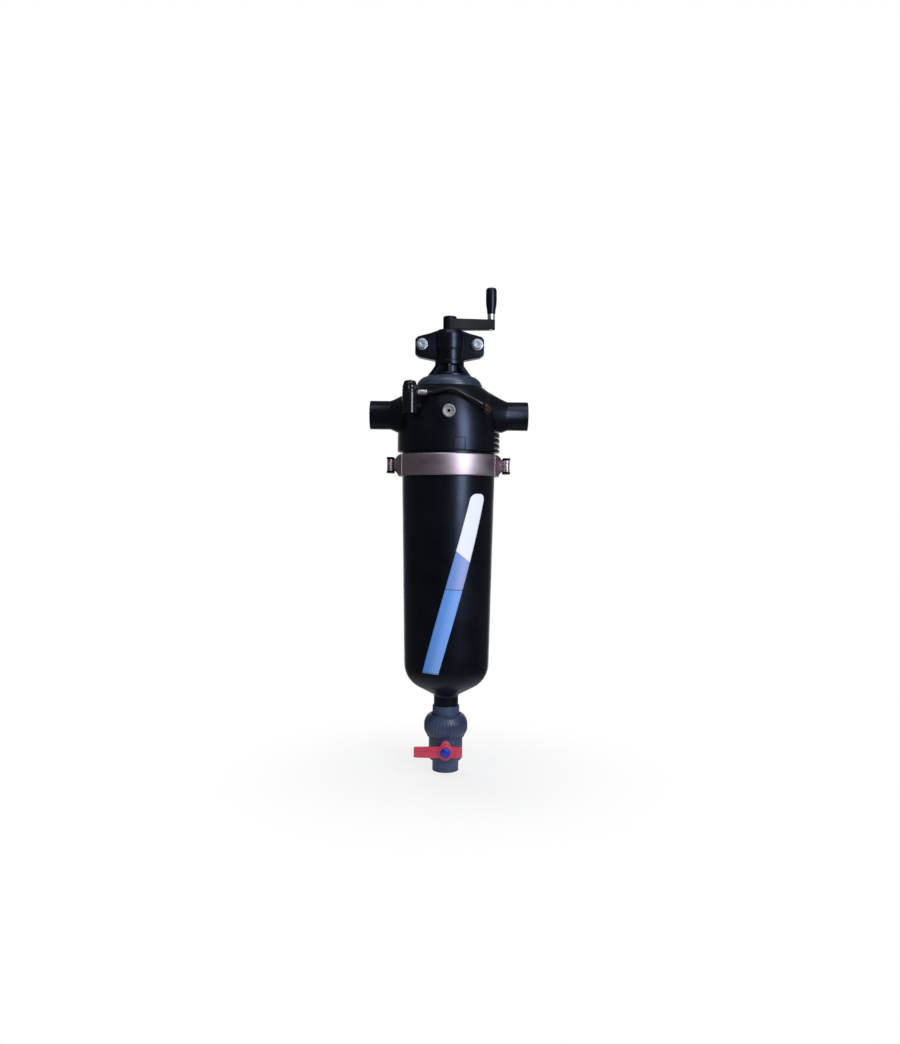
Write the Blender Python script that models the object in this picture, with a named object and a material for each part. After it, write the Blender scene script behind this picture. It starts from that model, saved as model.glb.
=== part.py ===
"""Screen filter with a hand-cranked suction scanner, about one metre tall.

Units are metres. +Z is up, +X points to the outlet port, -Y to the front.
The origin is where the axis of the two ports crosses the filter's upright axis.
The scanner is at the bottom of its stroke and the drain valve is closed.
"""
import math

import bmesh
import bpy
from mathutils import Matrix, Vector

# Clearance between pieces that touch, and between a piece and its seat
FIT = 0.0003

# Facets round a turned piece, by its size
LARGE = 32
MEDIUM = 20
SMALL = 12
TINY = 8

# Head with its two ports
PORT_RADIUS = 0.0298
PORT_BORE = 0.0245
PORT_LENGTH = 0.0576
PORT_FLARE_RADIUS = 0.046
PORT_FLARE_CLEARANCE = 0.0116
PORT_FLARE_LENGTH = 0.034
CROWN_HEIGHT = 0.056
CROWN_INSET = 0.008
SHOULDER_INSET = 0.0194
SHOULDER_DROP = 0.012
SKIRT_STAND_OUT = 0.0004
SKIRT_TOP = -0.046
SKIRT_BOTTOM = -0.077
HEAD_NECK_RADIUS = 0.0615
HEAD_NECK_HEIGHT = 0.014
HEAD_WALL = 0.0065
TOWER_BORE = 0.045
PARTITION_RADIUS = 0.061
PARTITION_WALL = 0.005
PARTITION_END = -0.092
RIB_PITCH = 0.0124
RIB_COUNT = 4
RIB_GAP = 0.0062
RIB_DEPTH = 0.006
RIB_SPAN = math.radians(50)
PAD_LOW = -0.067
PAD_HIGH = -0.045
PAD_ANGLE = math.radians(-75.5)
PAD_SWEEP = math.radians(11.5)

# Two-part clamp round the joint of head and bowl
CLAMP_DROP = 0.005
CLAMP_HEIGHT = 0.045
CLAMP_STAND_OUT = 0.01
CLAMP_SHEET = 0.002
CLAMP_LIP = 0.0065
TRUNNION_STAND_OUT = 0.0145
TRUNNION_Y = 0.0125
TRUNNION_RADIUS = 0.0046
TRUNNION_HEIGHT = 0.031
TRUNNION_CAP_RADIUS = 0.007
TRUNNION_CAP = 0.003
LOOP_WALL = 0.002
CLAMP_BOLT_RADIUS = 0.003
CLAMP_BOLT_HEAD = 0.0055
CLAMP_BOLT_HEAD_HEIGHT = 0.004

# Bowl
BOWL_TOP_RADIUS = 0.096
BOWL_TAPER = 0.008
BOWL_SIDE_END = -0.515
BOWL_KNUCKLE = 0.05
BOWL_CONE_SLOPE = math.radians(27)
BOWL_WALL = 0.0055
BOWL_SHOULDER = 0.007
BOWL_NECK_RADIUS = 0.0253
BOWL_NECK_BORE = 0.0215
BOWL_NECK_END = -0.6
BOWL_SPIGOT_LENGTH = 0.016
BOWL_SPIGOT_WALL = 0.0022
BOWL_LEDGE_RADIUS = 0.041
BOWL_LEDGE_HEIGHT = 0.004
BUSH_LEDGE = -0.568
SEAL_SECTION = 0.0026
JOINT_SEAL_INSET = 0.0025

# Tower that carries the spindle, and the collar that holds it down
TOWER_FLANGE_RADIUS = 0.057
TOWER_FLANGE = 0.0065
TOWER_FOOT_RADIUS = 0.0458
TOWER_FOOT_HEIGHT = 0.0133
TOWER_SHOULDER_HEIGHT = 0.0347
TOWER_HEIGHT = 0.0437
TOWER_RADIUS = 0.0303
TOWER_CORE_RADIUS = 0.023
TOWER_RIBS = 8
TOWER_RIB_THICKNESS = 0.005
TOWER_SPIGOT_DEPTH = 0.02
TOWER_TOP_NECK_RADIUS = 0.0185
TOWER_TOP_NECK = 0.005
TOWER_TOP_FLANGE_RADIUS = 0.023
TOWER_TOP_FLANGE = 0.005
TOWER_SEAL_RADIUS = 0.0515
TOWER_SEAL_SECTION = 0.0019
COLLAR_RADIUS = 0.069
COLLAR_MID_RADIUS = 0.0675
COLLAR_TOP_RADIUS = 0.0525
COLLAR_HOLE = 0.0475
COLLAR_LIP = 0.0056
COLLAR_RIM = 0.005
COLLAR_FOOT_CLEARANCE = 0.0015
COLLAR_DOME_END = 0.0015

# Split housing of the lead nut, with its ears and bolts
HOUSING_HEIGHT = 0.0637
HOUSING_RADIUS = 0.0305
HOUSING_TOP_RADIUS = 0.027
HOUSING_BARREL_LENGTH = 0.044
HOUSING_FOOT_RADIUS = 0.0285
EAR_REACH = 0.0716
EAR_THICKNESS = 0.012
EAR_TOP_DROP = 0.014
EAR_BOTTOM_RISE = 0.0065
EAR_BOLT_X = 0.0574
EAR_BOLT_DROP = 0.031
BOLT_RADIUS = 0.006
BOLT_HEAD_ACROSS = 0.019
BOLT_HEAD = 0.0075
WASHER_RADIUS = 0.012
WASHER = 0.0025
NUT_HEIGHT = 0.01
LEAD_NUT_RADIUS = 0.019
LEAD_NUT_HEIGHT = 0.034

# Scanner: spindle, suction tube and nozzles
SPINDLE_RADIUS = 0.008
STROKE = 0.06
SPINDLE_GAP = 0.0004
SPINDLE_SQUARE = 0.0105
SPINDLE_PIN_RADIUS = 0.002
TUBE_RADIUS = 0.016
TUBE_WALL = 0.0025
TUBE_TOP = -0.05
TUBE_PLUG = 0.03
TUBE_COLLAR_RADIUS = 0.0175
TUBE_COLLAR = 0.004
TUBE_END_ABOVE_NECK_END = 0.008
GUIDE_RING_HEIGHT = 0.008
GUIDE_RING_DEPTH = 0.0032
GUIDE_RING_RADIUS = 0.0181
NOZZLES = 7
NOZZLE_LOWEST = -0.498
NOZZLE_RADIUS = 0.0055
NOZZLE_BORE = 0.0032
NOZZLE_MOUTH_RADIUS = 0.009
NOZZLE_MOUTH_LENGTH = 0.009
NOZZLE_REACH = 0.0545
BUSH_TOP = -0.506
BUSH_WALL = 0.0028
BUSH_END_ABOVE_NECK_END = 0.002
BUSH_FOOT_RADIUS = 0.031
BUSH_FOOT = 0.005
BUSH_SHELF_RADIUS = 0.034
BUSH_SHELF = 0.004
SHAFT_BUSH_RADIUS = 0.0125
SHAFT_BUSH_LENGTH = 0.024
SHAFT_SEAL_RADIUS = 0.015
SHAFT_SEAL_HEIGHT = 0.006
SEAL_NUT_RADIUS = 0.02
SEAL_NUT_HEIGHT = 0.006

# Filter element
CAGE_RADIUS = 0.062
CAGE_WALL = 0.0035
CAGE_BOTTOM = -0.517
CAGE_COLUMNS = 8
CAGE_ROWS = 5
CAGE_BAR = 0.006
CAGE_RING = 0.009
MESH_THICKNESS = 0.0008
ELEMENT_SEAL_HEIGHT = 0.003

# Crank
HUB_CLEARANCE = 0.001
HUB_RADIUS = 0.014
HUB_HEIGHT = 0.028
ARM_REACH = 0.094
ARM_ROOT_HEIGHT = 0.0225
ARM_END_HEIGHT = 0.0195
ARM_ROOT_WIDTH = 0.024
ARM_END_WIDTH = 0.018
ARM_RISE = 0.0012
GRIP_INSET = 0.008
FERRULE_RADIUS = 0.0063
FERRULE_LENGTH = 0.012
GRIP_LENGTH = 0.0545
GRIP_RADIUS = 0.0112
GRIP_FOOT_RADIUS = 0.0083
GRIP_CAP_HEIGHT = 0.008
GRIP_PIN_RADIUS = 0.004
GRIP_PIN_HEAD_RADIUS = 0.0062
GRIP_PIN_HEAD = 0.005
HUB_SCREW_RADIUS = 0.003
HUB_SCREW_HEAD_RADIUS = 0.0055
HUB_SCREW_HEAD = 0.005
HUB_SCREW_LENGTH = 0.01
HUB_WEB_DROP = 0.0095
HUB_WEB = 0.0025
ARM_CORNER = 0.0065

# Union and ball valve at the drain
UNION_TAIL_RADIUS = 0.028
UNION_TAIL_LENGTH = 0.04
UNION_FLANGE_RADIUS = 0.034
UNION_FLANGE = 0.008
UNION_NUT_RADIUS = 0.0453
UNION_NUT_TOP_RADIUS = 0.0335
UNION_NUT_OFFSET = 0.018
UNION_NUT_HEIGHT = 0.049
UNION_NUT_LIP = 0.012
UNION_NUT_RIBS = 16
VALVE_RADIUS = 0.035
VALVE_THREAD_RADIUS = 0.0385
VALVE_CENTRE_DROP = 0.0475
VALVE_BELOW_CENTRE = 0.027
SOCKET_RADIUS = 0.0272
SOCKET_END_BELOW_CENTRE = 0.05
SOCKET_BORE = 0.0201
SOCKET_DEPTH = 0.021
BALL_RADIUS = 0.0225
VALVE_BORE = 0.0145
SEAT_RADIUS = 0.0205
SEAT_DEPTH = 0.006
STEM_RADIUS = 0.0075
STEM_SLOT = 0.006
STEM_BOSS_RADIUS = 0.016
STEM_BOSS_REACH = 0.0475
STEM_SLOT_DEPTH = 0.004
STEM_SHOULDER_RADIUS = 0.0098
STEM_SHOULDER_END = 0.0268
STEM_GROOVE = 0.0028
STEM_SQUARE = 0.0102
CARRIER_RADIUS = 0.0285
UNION_SEAL_RADIUS = 0.0215
UNION_SEAL_SECTION = 0.0018
HANDLE_GAP = 0.0005
HANDLE_THICKNESS = 0.012
HANDLE_LONG_END = 0.063
HANDLE_SHORT_END = 0.033
HANDLE_HEIGHT = 0.023
HANDLE_TIP_HEIGHT = 0.021
HANDLE_HUB_RADIUS = 0.0165
HANDLE_TAB_HEIGHT = 0.0265
CAP_RADIUS = 0.011
CAP_HEIGHT = 0.006
CAP_SCREW_RADIUS = 0.0028

# Pressure test point, selector cock, its tube and its elbow
PLUG_RADIUS = 0.0135
PLUG_THICKNESS = 0.004
PLUG_BOSS_RADIUS = 0.016
PLUG_BOSS_INSET = 0.0034
PLUG_SHANK_RADIUS = 0.0065
PLUG_SHANK = 0.008
COCK_ANGLE = math.radians(-131.55)
COCK_STAND_OUT = 0.0112
COCK_RADIUS = 0.0155
COCK_BOTTOM = -0.005
COCK_TOP = 0.043
KNOB_RADIUS = 0.0145
KNOB_HEIGHT = 0.017
KNOB_FLUTES = 8
KNOB_FLUTE_DEPTH = 0.0016
COCK_SPOOL_RADIUS = 0.005
COCK_SPOOL_DEPTH = 0.04
COCK_STUB_RADIUS = 0.0065
SIDE_SHANK_DEPTH = 0.012
SIDE_HOLE_DEPTH = 0.014
COCK_STUB_Z = 0.012
COCK_BOSS_RADIUS = 0.011
TUBE_FITTING_Z = 0.0375
TUBE_FITTING_RADIUS = 0.006
FITTING_SHANK_RADIUS = 0.0036
TUBE_FITTING_LENGTH = 0.018
CONTROL_TUBE_RADIUS = 0.0038
ELBOW_ANGLE = math.radians(-43)
ELBOW_Z = 0.006
ELBOW_STAND_OUT = 0.0024
ELBOW_RADIUS = 0.007
ELBOW_BOSS_RADIUS = 0.0105
ELBOW_RISE = math.radians(25)
ELBOW_ARM_RADIUS = 0.0062
ELBOW_ARM_LENGTH = 0.014
ELBOW_NUT_RADIUS = 0.009
# Angle, inset from the skirt and height of the two bends between cock and elbow
TUBE_ROUTE = ((math.radians(-86.4), 0.0107, 0.0435), (math.radians(-67.7), 0.0064, 0.0295))

# Places that follow from the sizes above
BOWL_FOOT_RADIUS = BOWL_TOP_RADIUS - BOWL_TAPER
JOINT_SEAL_RADIUS = BOWL_TOP_RADIUS - JOINT_SEAL_INSET
CLAMP_RADIUS = BOWL_TOP_RADIUS + CLAMP_STAND_OUT
TRUNNION_X = CLAMP_RADIUS + TRUNNION_STAND_OUT
SKIRT_RADIUS = CLAMP_RADIUS + SKIRT_STAND_OUT
GRIP_X = ARM_REACH - GRIP_INSET
SHOULDER_RADIUS = SKIRT_RADIUS - SHOULDER_INSET
CROWN_RADIUS = SHOULDER_RADIUS - CROWN_INSET
PORT_FLARE_START = SKIRT_RADIUS + PORT_FLARE_CLEARANCE
PORT_REACH = SKIRT_RADIUS + PORT_LENGTH
PLUG_BOSS_REACH = SKIRT_RADIUS - PLUG_BOSS_INSET
ELBOW_REACH = SKIRT_RADIUS + ELBOW_STAND_OUT
NECK_TOP = CROWN_HEIGHT + HEAD_NECK_HEIGHT
TOWER_BASE = NECK_TOP + FIT
TOWER_TOP = TOWER_BASE + TOWER_HEIGHT
HOUSING_BOTTOM = TOWER_TOP + FIT
HOUSING_TOP = HOUSING_BOTTOM + HOUSING_HEIGHT
HUB_BOTTOM = HOUSING_TOP + HUB_CLEARANCE
HUB_TOP = HUB_BOTTOM + HUB_HEIGHT
EAR_BOLT_Z = HOUSING_TOP - EAR_BOLT_DROP
CLAMP_TOP = SKIRT_BOTTOM - CLAMP_DROP
CLAMP_BOTTOM = CLAMP_TOP - CLAMP_HEIGHT
JOINT_PLANE = CLAMP_TOP - CLAMP_HEIGHT / 2
HEAD_BOTTOM = JOINT_PLANE + FIT / 2
BOWL_TOP = JOINT_PLANE - FIT / 2
TAIL_TOP = BOWL_NECK_END - FIT
TAIL_BOTTOM = TAIL_TOP - UNION_TAIL_LENGTH
VALVE_TOP = TAIL_BOTTOM - FIT
VALVE_Z = VALVE_TOP - VALVE_CENTRE_DROP
UNION_NUT_TOP = TAIL_TOP - UNION_NUT_OFFSET
UNION_NUT_BOTTOM = UNION_NUT_TOP - UNION_NUT_HEIGHT
SOCKET_END = VALVE_Z - SOCKET_END_BELOW_CENTRE
TUBE_BOTTOM = BOWL_NECK_END + TUBE_END_ABOVE_NECK_END
FLAT_SHARE = math.cos(math.pi / LARGE)
FLANGE_RADIUS = (CLAMP_RADIUS - CLAMP_SHEET) * FLAT_SHARE - FIT
FLANGE_NECK = (CLAMP_RADIUS - CLAMP_SHEET - CLAMP_LIP) * FLAT_SHARE - FIT
FLANGE_FOOT = CLAMP_BOTTOM + CLAMP_SHEET + FIT
BUSH_END = BOWL_NECK_END + BUSH_END_ABOVE_NECK_END
CAGE_TOP = PARTITION_END - 2 * FIT - ELEMENT_SEAL_HEIGHT
BUSH_BORE = GUIDE_RING_RADIUS + FIT
BUSH_RADIUS = BUSH_BORE + BUSH_WALL
COCK_DISTANCE = SKIRT_RADIUS + COCK_STAND_OUT
COCK_X = COCK_DISTANCE * math.cos(COCK_ANGLE)
COCK_Y = COCK_DISTANCE * math.sin(COCK_ANGLE)
COCK_BOSS_REACH = COCK_DISTANCE - COCK_RADIUS - FIT
ELBOW_BOSS_REACH = ELBOW_REACH - ELBOW_ARM_RADIUS - 2 * FIT
RIB_LOWEST = SKIRT_BOTTOM + 0.0058

# Finishes: colour as linear red, green and blue, then roughness and metallic
BLACK_NYLON = ((0.012, 0.013, 0.018), 0.42, 0.0)
BLUE_GREY_PVC = ((0.045, 0.062, 0.092), 0.45, 0.0)
BLACK_RUBBER = ((0.02, 0.02, 0.02), 0.7, 0.0)
WHITE_PTFE = ((0.8, 0.8, 0.78), 0.45, 0.0)
ZINC = ((0.6, 0.62, 0.66), 0.3, 1.0)
STAINLESS = ((0.58, 0.57, 0.56), 0.22, 1.0)
BRASS = ((0.55, 0.36, 0.16), 0.32, 1.0)
BRONZE = ((0.42, 0.27, 0.13), 0.38, 1.0)
RED_PLASTIC = ((0.65, 0.035, 0.045), 0.38, 0.0)
BLUE_PLASTIC = ((0.012, 0.035, 0.45), 0.35, 0.0)
BLACK_POLYAMIDE_TUBE = ((0.015, 0.015, 0.017), 0.35, 0.0)
LIGHT_POLYMER = ((0.5, 0.52, 0.54), 0.5, 0.0)

ABOUT_X = Matrix.Rotation(math.radians(90), 4, "Y")
FACING_FRONT = Matrix.Rotation(math.radians(90), 4, "X")
SLOT_TURN = Matrix.Rotation(math.radians(90), 4, "Z")
# Turns a cross hole so that none of its edges runs along an edge of the tube it crosses
CROSS_TURN = Matrix.Rotation(math.radians(7), 4, "Z")

SCANNER = ("spindle", "spindle_pin", "suction_tube", "guide_ring", "crank_arm", "hub_screw",
           "grip_pin")
DRAIN_VALVE = ("valve_ball", "valve_stem", "stem_seal", "valve_handle", "handle_cap_screw")


def clear_scene():
    for old in list(bpy.data.objects):
        bpy.data.objects.remove(old)


def material(name, finish):
    colour, roughness, metallic = finish
    made = bpy.data.materials.new(name)
    made.use_nodes = True
    shader = made.node_tree.nodes["Principled BSDF"]
    shader.inputs["Base Color"].default_value = (*colour, 1.0)
    shader.inputs["Roughness"].default_value = roughness
    shader.inputs["Metallic"].default_value = metallic
    return made


def piece(name, shape, finish):
    """One named sub-part from a bmesh, smooth where its faces meet at a small angle."""
    mesh = bpy.data.meshes.new(name)
    shape.to_mesh(mesh)
    shape.free()
    mesh.shade_smooth()
    mesh.set_sharp_from_angle(angle=math.radians(32))
    mesh.materials.append(material(name, finish))
    made = bpy.data.objects.new(name, mesh)
    bpy.context.collection.objects.link(made)
    return made


def tool(name, shape):
    """A shape that only cuts or extends a sub-part."""
    made = piece(name, shape, BLACK_RUBBER)
    made.hide_render = True
    made.display_type = "WIRE"
    return made


def boolean(target, other, operation):
    step = target.modifiers.new(other.name, "BOOLEAN")
    step.operation = operation
    step.solver = "EXACT"
    step.object = other


def cut(target, *others):
    for other in others:
        boolean(target, other, "DIFFERENCE")


def join(target, *others):
    for other in others:
        boolean(target, other, "UNION")


def arc(centre_r, centre_z, radius, start, end, steps):
    """Points of a round stretch of a profile, angles in degrees from +r towards +z."""
    points = []
    for index in range(steps + 1):
        angle = math.radians(start + (end - start) * index / steps)
        points.append((centre_r + radius * math.cos(angle), centre_z + radius * math.sin(angle)))
    return points


def face_outwards(shape):
    bmesh.ops.recalc_face_normals(shape, faces=shape.faces)
    if shape.calc_volume(signed=True) < 0:
        bmesh.ops.reverse_faces(shape, faces=shape.faces)


def turned(profile, steps, turn=None):
    """A closed profile of (radius, height) points spun round Z; it may touch the axis."""
    shape = bmesh.new()
    corners = [shape.verts.new((radius, 0, height)) for radius, height in profile]
    edges = []
    for index, corner in enumerate(corners):
        following = corners[(index + 1) % len(corners)]
        if max(corner.co.x, following.co.x) > 1e-7:
            edges.append(shape.edges.new((corner, following)))
    bmesh.ops.spin(shape, geom=corners + edges, axis=(0, 0, 1), cent=(0, 0, 0),
                   angle=math.tau, steps=steps, use_merge=True)
    bmesh.ops.remove_doubles(shape, verts=shape.verts, dist=1e-6)
    face_outwards(shape)
    for pole in [corner for corner in shape.verts if math.hypot(corner.co.x, corner.co.y) < 1e-6]:
        if all(abs(face.normal.z) > 0.9999 for face in pole.link_faces):
            bmesh.ops.dissolve_verts(shape, verts=[pole])
    if turn:
        bmesh.ops.transform(shape, matrix=turn, verts=shape.verts)
    return shape


def part_turned(profile, start, sweep, steps):
    """A closed profile of (radius, height) points swept round Z through part of a turn."""
    shape = bmesh.new()
    corners = [shape.verts.new((radius, 0, height)) for radius, height in profile]
    bmesh.ops.transform(shape, matrix=Matrix.Rotation(start, 4, "Z"), verts=corners)
    edges = [shape.edges.new((corner, corners[(index + 1) % len(corners)]))
             for index, corner in enumerate(corners)]
    grown = bmesh.ops.spin(shape, geom=corners + edges, axis=(0, 0, 1), cent=(0, 0, 0),
                           angle=sweep, steps=steps)
    last = [item for item in grown["geom_last"] if isinstance(item, bmesh.types.BMEdge)]
    for end in (edges, last):
        bmesh.ops.contextual_create(shape, geom=end)
    face_outwards(shape)
    return shape


def sector(inner, outer, low, high, middle, sweep, steps):
    """A piece of a flat ring, its middle at the angle middle from +X."""
    corners = [(inner, low), (outer, low), (outer, high), (inner, high)]
    return part_turned(corners, middle - sweep / 2, sweep, steps)


def rod(radius, low, high, steps, turn=None, chamfer=0.0):
    """A round bar along Z from low to high, with its ends chamfered."""
    profile = [(0, low), (radius - chamfer, low), (radius, low + chamfer),
               (radius, high - chamfer), (radius - chamfer, high), (0, high)]
    if not chamfer:
        profile = [(0, low), (radius, low), (radius, high), (0, high)]
    return turned(profile, steps, turn)


def tube(outer, inner, low, high, steps, turn=None):
    return turned([(inner, low), (outer, low), (outer, high), (inner, high)], steps, turn)


def prism(outline, low, high, turn=None):
    """An outline in the XY plane extruded along Z."""
    shape = bmesh.new()
    face = shape.faces.new([shape.verts.new((x, y, low)) for x, y in outline])
    grown = bmesh.ops.extrude_face_region(shape, geom=[face])
    top = [item for item in grown["geom"] if isinstance(item, bmesh.types.BMVert)]
    bmesh.ops.translate(shape, vec=(0, 0, high - low), verts=top)
    face_outwards(shape)
    if turn:
        bmesh.ops.transform(shape, matrix=turn, verts=shape.verts)
    return shape


def hexagon(across_flats, start=0.0):
    radius = across_flats / 2 / math.cos(math.pi / 6)
    corners = [start + math.radians(60 * index) for index in range(6)]
    return [(radius * math.cos(angle), radius * math.sin(angle)) for angle in corners]


def combined(shapes):
    """Several closed shapes in one bmesh, as the separate solids of one group."""
    whole = bmesh.new()
    for shape in shapes:
        part = bpy.data.meshes.new("part")
        shape.to_mesh(part)
        shape.free()
        whole.from_mesh(part)
        bpy.data.meshes.remove(part)
    return whole


def at(x, y, z, turn=None):
    place = Matrix.Translation((x, y, z))
    return place @ turn if turn else place


def radial(angle, height):
    """Turns a shape's +Z axis outwards at an angle from +X, at a height on the filter."""
    outwards = Matrix.Rotation(angle, 4, "Z") @ ABOUT_X
    return Matrix.Translation((0, 0, height)) @ outwards


def head_outline():
    """Outer profile of the head from the crown down to the skirt."""
    side = [(CROWN_RADIUS, CROWN_HEIGHT), (CROWN_RADIUS, CROWN_HEIGHT - SHOULDER_DROP / 3),
            (SHOULDER_RADIUS, CROWN_HEIGHT - SHOULDER_DROP)]
    steps = 4
    for index in range(1, steps + 1):
        share = math.sin(math.pi / 2 * index / steps)
        drop = index / steps
        radius = SHOULDER_RADIUS + (SKIRT_RADIUS - SHOULDER_RADIUS) * share
        height = side[2][1] + (SKIRT_TOP - side[2][1]) * drop
        side.append((radius, height))
    return side


def head_cavity():
    """Space between the outer wall and the partition, open at the bottom."""
    widest = SKIRT_RADIUS - RIB_DEPTH - HEAD_WALL
    mouth = JOINT_SEAL_RADIUS - SEAL_SECTION - 0.0025
    below = HEAD_BOTTOM - 0.01
    profile = [(0, below), (mouth, below), (mouth, SKIRT_BOTTOM - 0.003), (widest, SKIRT_BOTTOM + 0.006)]
    for radius, height in reversed(head_outline()[2:-1]):
        profile.append((min(radius - HEAD_WALL, widest), height - HEAD_WALL))
    profile += [(PARTITION_RADIUS, head_outline()[2][1] - HEAD_WALL),
                (PARTITION_RADIUS, PARTITION_END), (0, PARTITION_END)]
    return profile


def port_bar():
    """Both ports and their flared roots as one bar along X."""
    lead = 0.0015
    flare = []
    steps = 3
    for index in range(steps + 1):
        share = index / steps
        radius = PORT_RADIUS + (PORT_FLARE_RADIUS - PORT_RADIUS) * share ** 1.4
        flare.append((radius, PORT_FLARE_START - PORT_FLARE_LENGTH * share))
    half = [(0, PORT_REACH), (PORT_RADIUS - lead, PORT_REACH), (PORT_RADIUS, PORT_REACH - lead)] + flare
    other_half = [(radius, -along) for radius, along in reversed(half)]
    return turned(half + other_half, MEDIUM, ABOUT_X)


def build_head():
    outline = head_outline()
    collar_root = HEAD_NECK_RADIUS
    flange_top = CLAMP_TOP - CLAMP_SHEET - FIT
    profile = [(0, HEAD_BOTTOM), (FLANGE_RADIUS, HEAD_BOTTOM), (FLANGE_RADIUS, flange_top),
               (FLANGE_NECK, flange_top), (FLANGE_NECK, SKIRT_BOTTOM), (SKIRT_RADIUS, SKIRT_BOTTOM)]
    profile += reversed(outline)
    profile += [(collar_root, CROWN_HEIGHT), (collar_root, NECK_TOP), (0, NECK_TOP)]
    head = piece("head_body", turned(profile, LARGE), BLACK_NYLON)

    ports = tool("head_ports", port_bar())
    plug_boss = rod(PLUG_BOSS_RADIUS, HEAD_NECK_RADIUS, PLUG_BOSS_REACH, SMALL, FACING_FRONT, 0.001)
    cock_boss = rod(COCK_BOSS_RADIUS, HEAD_NECK_RADIUS, COCK_BOSS_REACH, SMALL,
                    radial(COCK_ANGLE, COCK_STUB_Z))
    elbow_boss = rod(ELBOW_BOSS_RADIUS, HEAD_NECK_RADIUS, ELBOW_BOSS_REACH, SMALL,
                     radial(ELBOW_ANGLE, ELBOW_Z))
    pad = sector(HEAD_NECK_RADIUS * 1.5, SKIRT_RADIUS + 0.0008, PAD_LOW, PAD_HIGH,
                 PAD_ANGLE, PAD_SWEEP, 3)
    join(head, ports, tool("plug_boss", plug_boss), tool("cock_boss", cock_boss),
         tool("elbow_boss", elbow_boss), tool("blank_pad", pad))

    cavity = tool("head_cavity", turned(head_cavity(), LARGE))
    sleeve = rod(PORT_BORE + PARTITION_WALL, -PORT_REACH, 0, MEDIUM, ABOUT_X)
    cut(cavity, tool("inlet_sleeve", sleeve))
    chamber_radius = PARTITION_RADIUS - PARTITION_WALL
    ceiling = CROWN_HEIGHT - HEAD_WALL
    chamber = turned([(0, HEAD_BOTTOM - 0.01), (chamber_radius, HEAD_BOTTOM - 0.01),
                      (chamber_radius, ceiling - 0.011), (TOWER_BORE, ceiling),
                      (TOWER_BORE, NECK_TOP + 0.01), (0, NECK_TOP + 0.01)], LARGE)
    inlet = rod(PORT_BORE, -PORT_REACH - 0.01, -0.03, MEDIUM, ABOUT_X)
    outlet = rod(PORT_BORE, PARTITION_RADIUS + 0.004, PORT_REACH + 0.01, MEDIUM, ABOUT_X)
    groove_top = HEAD_BOTTOM + 2 * SEAL_SECTION
    groove = tube(JOINT_SEAL_RADIUS + SEAL_SECTION + FIT, JOINT_SEAL_RADIUS - SEAL_SECTION - FIT,
                  HEAD_BOTTOM - 0.01, groove_top, LARGE)
    plug_hole = rod(PLUG_SHANK_RADIUS + FIT, PLUG_BOSS_REACH - SIDE_HOLE_DEPTH, PLUG_BOSS_REACH + 0.01,
                    SMALL, FACING_FRONT)
    cock_hole = rod(COCK_STUB_RADIUS + FIT, COCK_BOSS_REACH - SIDE_HOLE_DEPTH, COCK_BOSS_REACH + 0.01, SMALL,
                    radial(COCK_ANGLE, COCK_STUB_Z))
    elbow_hole = rod(ELBOW_RADIUS + FIT, ELBOW_BOSS_REACH - SIDE_HOLE_DEPTH, ELBOW_BOSS_REACH + 0.01, SMALL,
                     radial(ELBOW_ANGLE, ELBOW_Z))
    cut(head, cavity, tool("head_chamber", chamber), tool("inlet_bore", inlet),
        tool("outlet_bore", outlet), tool("joint_seal_groove", groove),
        tool("plug_hole", plug_hole), tool("cock_hole", cock_hole), tool("elbow_hole", elbow_hole))

    gaps = []
    for side in (0, math.pi):
        for index in range(RIB_COUNT):
            middle = RIB_LOWEST + RIB_PITCH * index
            gaps.append(sector(SKIRT_RADIUS - RIB_DEPTH, SKIRT_RADIUS + 0.02, middle - RIB_GAP / 2,
                               middle + RIB_GAP / 2, side, RIB_SPAN, 3))
    cut(head, tool("rib_gaps", combined(gaps)))
    return head


def seal_ring(name, radius, section, height, steps=MEDIUM):
    """A rubber ring of round section, its middle at the given height."""
    return piece(name, turned(arc(radius, height, section, 0, 300, 5), steps), BLACK_RUBBER)


def build_front_plug():
    face = PLUG_BOSS_REACH + FIT
    profile = [(0, PLUG_BOSS_REACH - PLUG_SHANK), (PLUG_SHANK_RADIUS, PLUG_BOSS_REACH - PLUG_SHANK),
               (PLUG_SHANK_RADIUS, face), (PLUG_RADIUS, face),
               (PLUG_RADIUS, face + PLUG_THICKNESS * 0.6), (PLUG_RADIUS - 0.0015, face + PLUG_THICKNESS),
               (PLUG_RADIUS - 0.004, face + PLUG_THICKNESS), (PLUG_RADIUS - 0.0055, face + 0.0025),
               (0, face + 0.0025)]
    plug = piece("pressure_point_plug", turned(profile, 24, FACING_FRONT), ZINC)
    socket = tool("plug_socket", prism(hexagon(0.0062), face - 0.004, face + 0.01, FACING_FRONT))
    cut(plug, socket)


def rounded(corners, radius, steps=3):
    """An outline with each corner rounded to the given radius."""
    outline = []
    for index, corner in enumerate(corners):
        here = Vector(corner)
        before = (Vector(corners[index - 1]) - here).normalized()
        after = (Vector(corners[(index + 1) % len(corners)]) - here).normalized()
        opening = before.angle(after) / 2
        reach = radius / math.sin(opening)
        centre = here + (before + after).normalized() * reach
        first = here + before * (radius / math.tan(opening))
        last = here + after * (radius / math.tan(opening))
        start = first - centre
        turn = start.angle_signed(last - centre)
        for step in range(steps + 1):
            angle = -turn * step / steps
            spoke = Matrix.Rotation(angle, 2) @ start
            outline.append(tuple(centre + spoke))
    return outline


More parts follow.
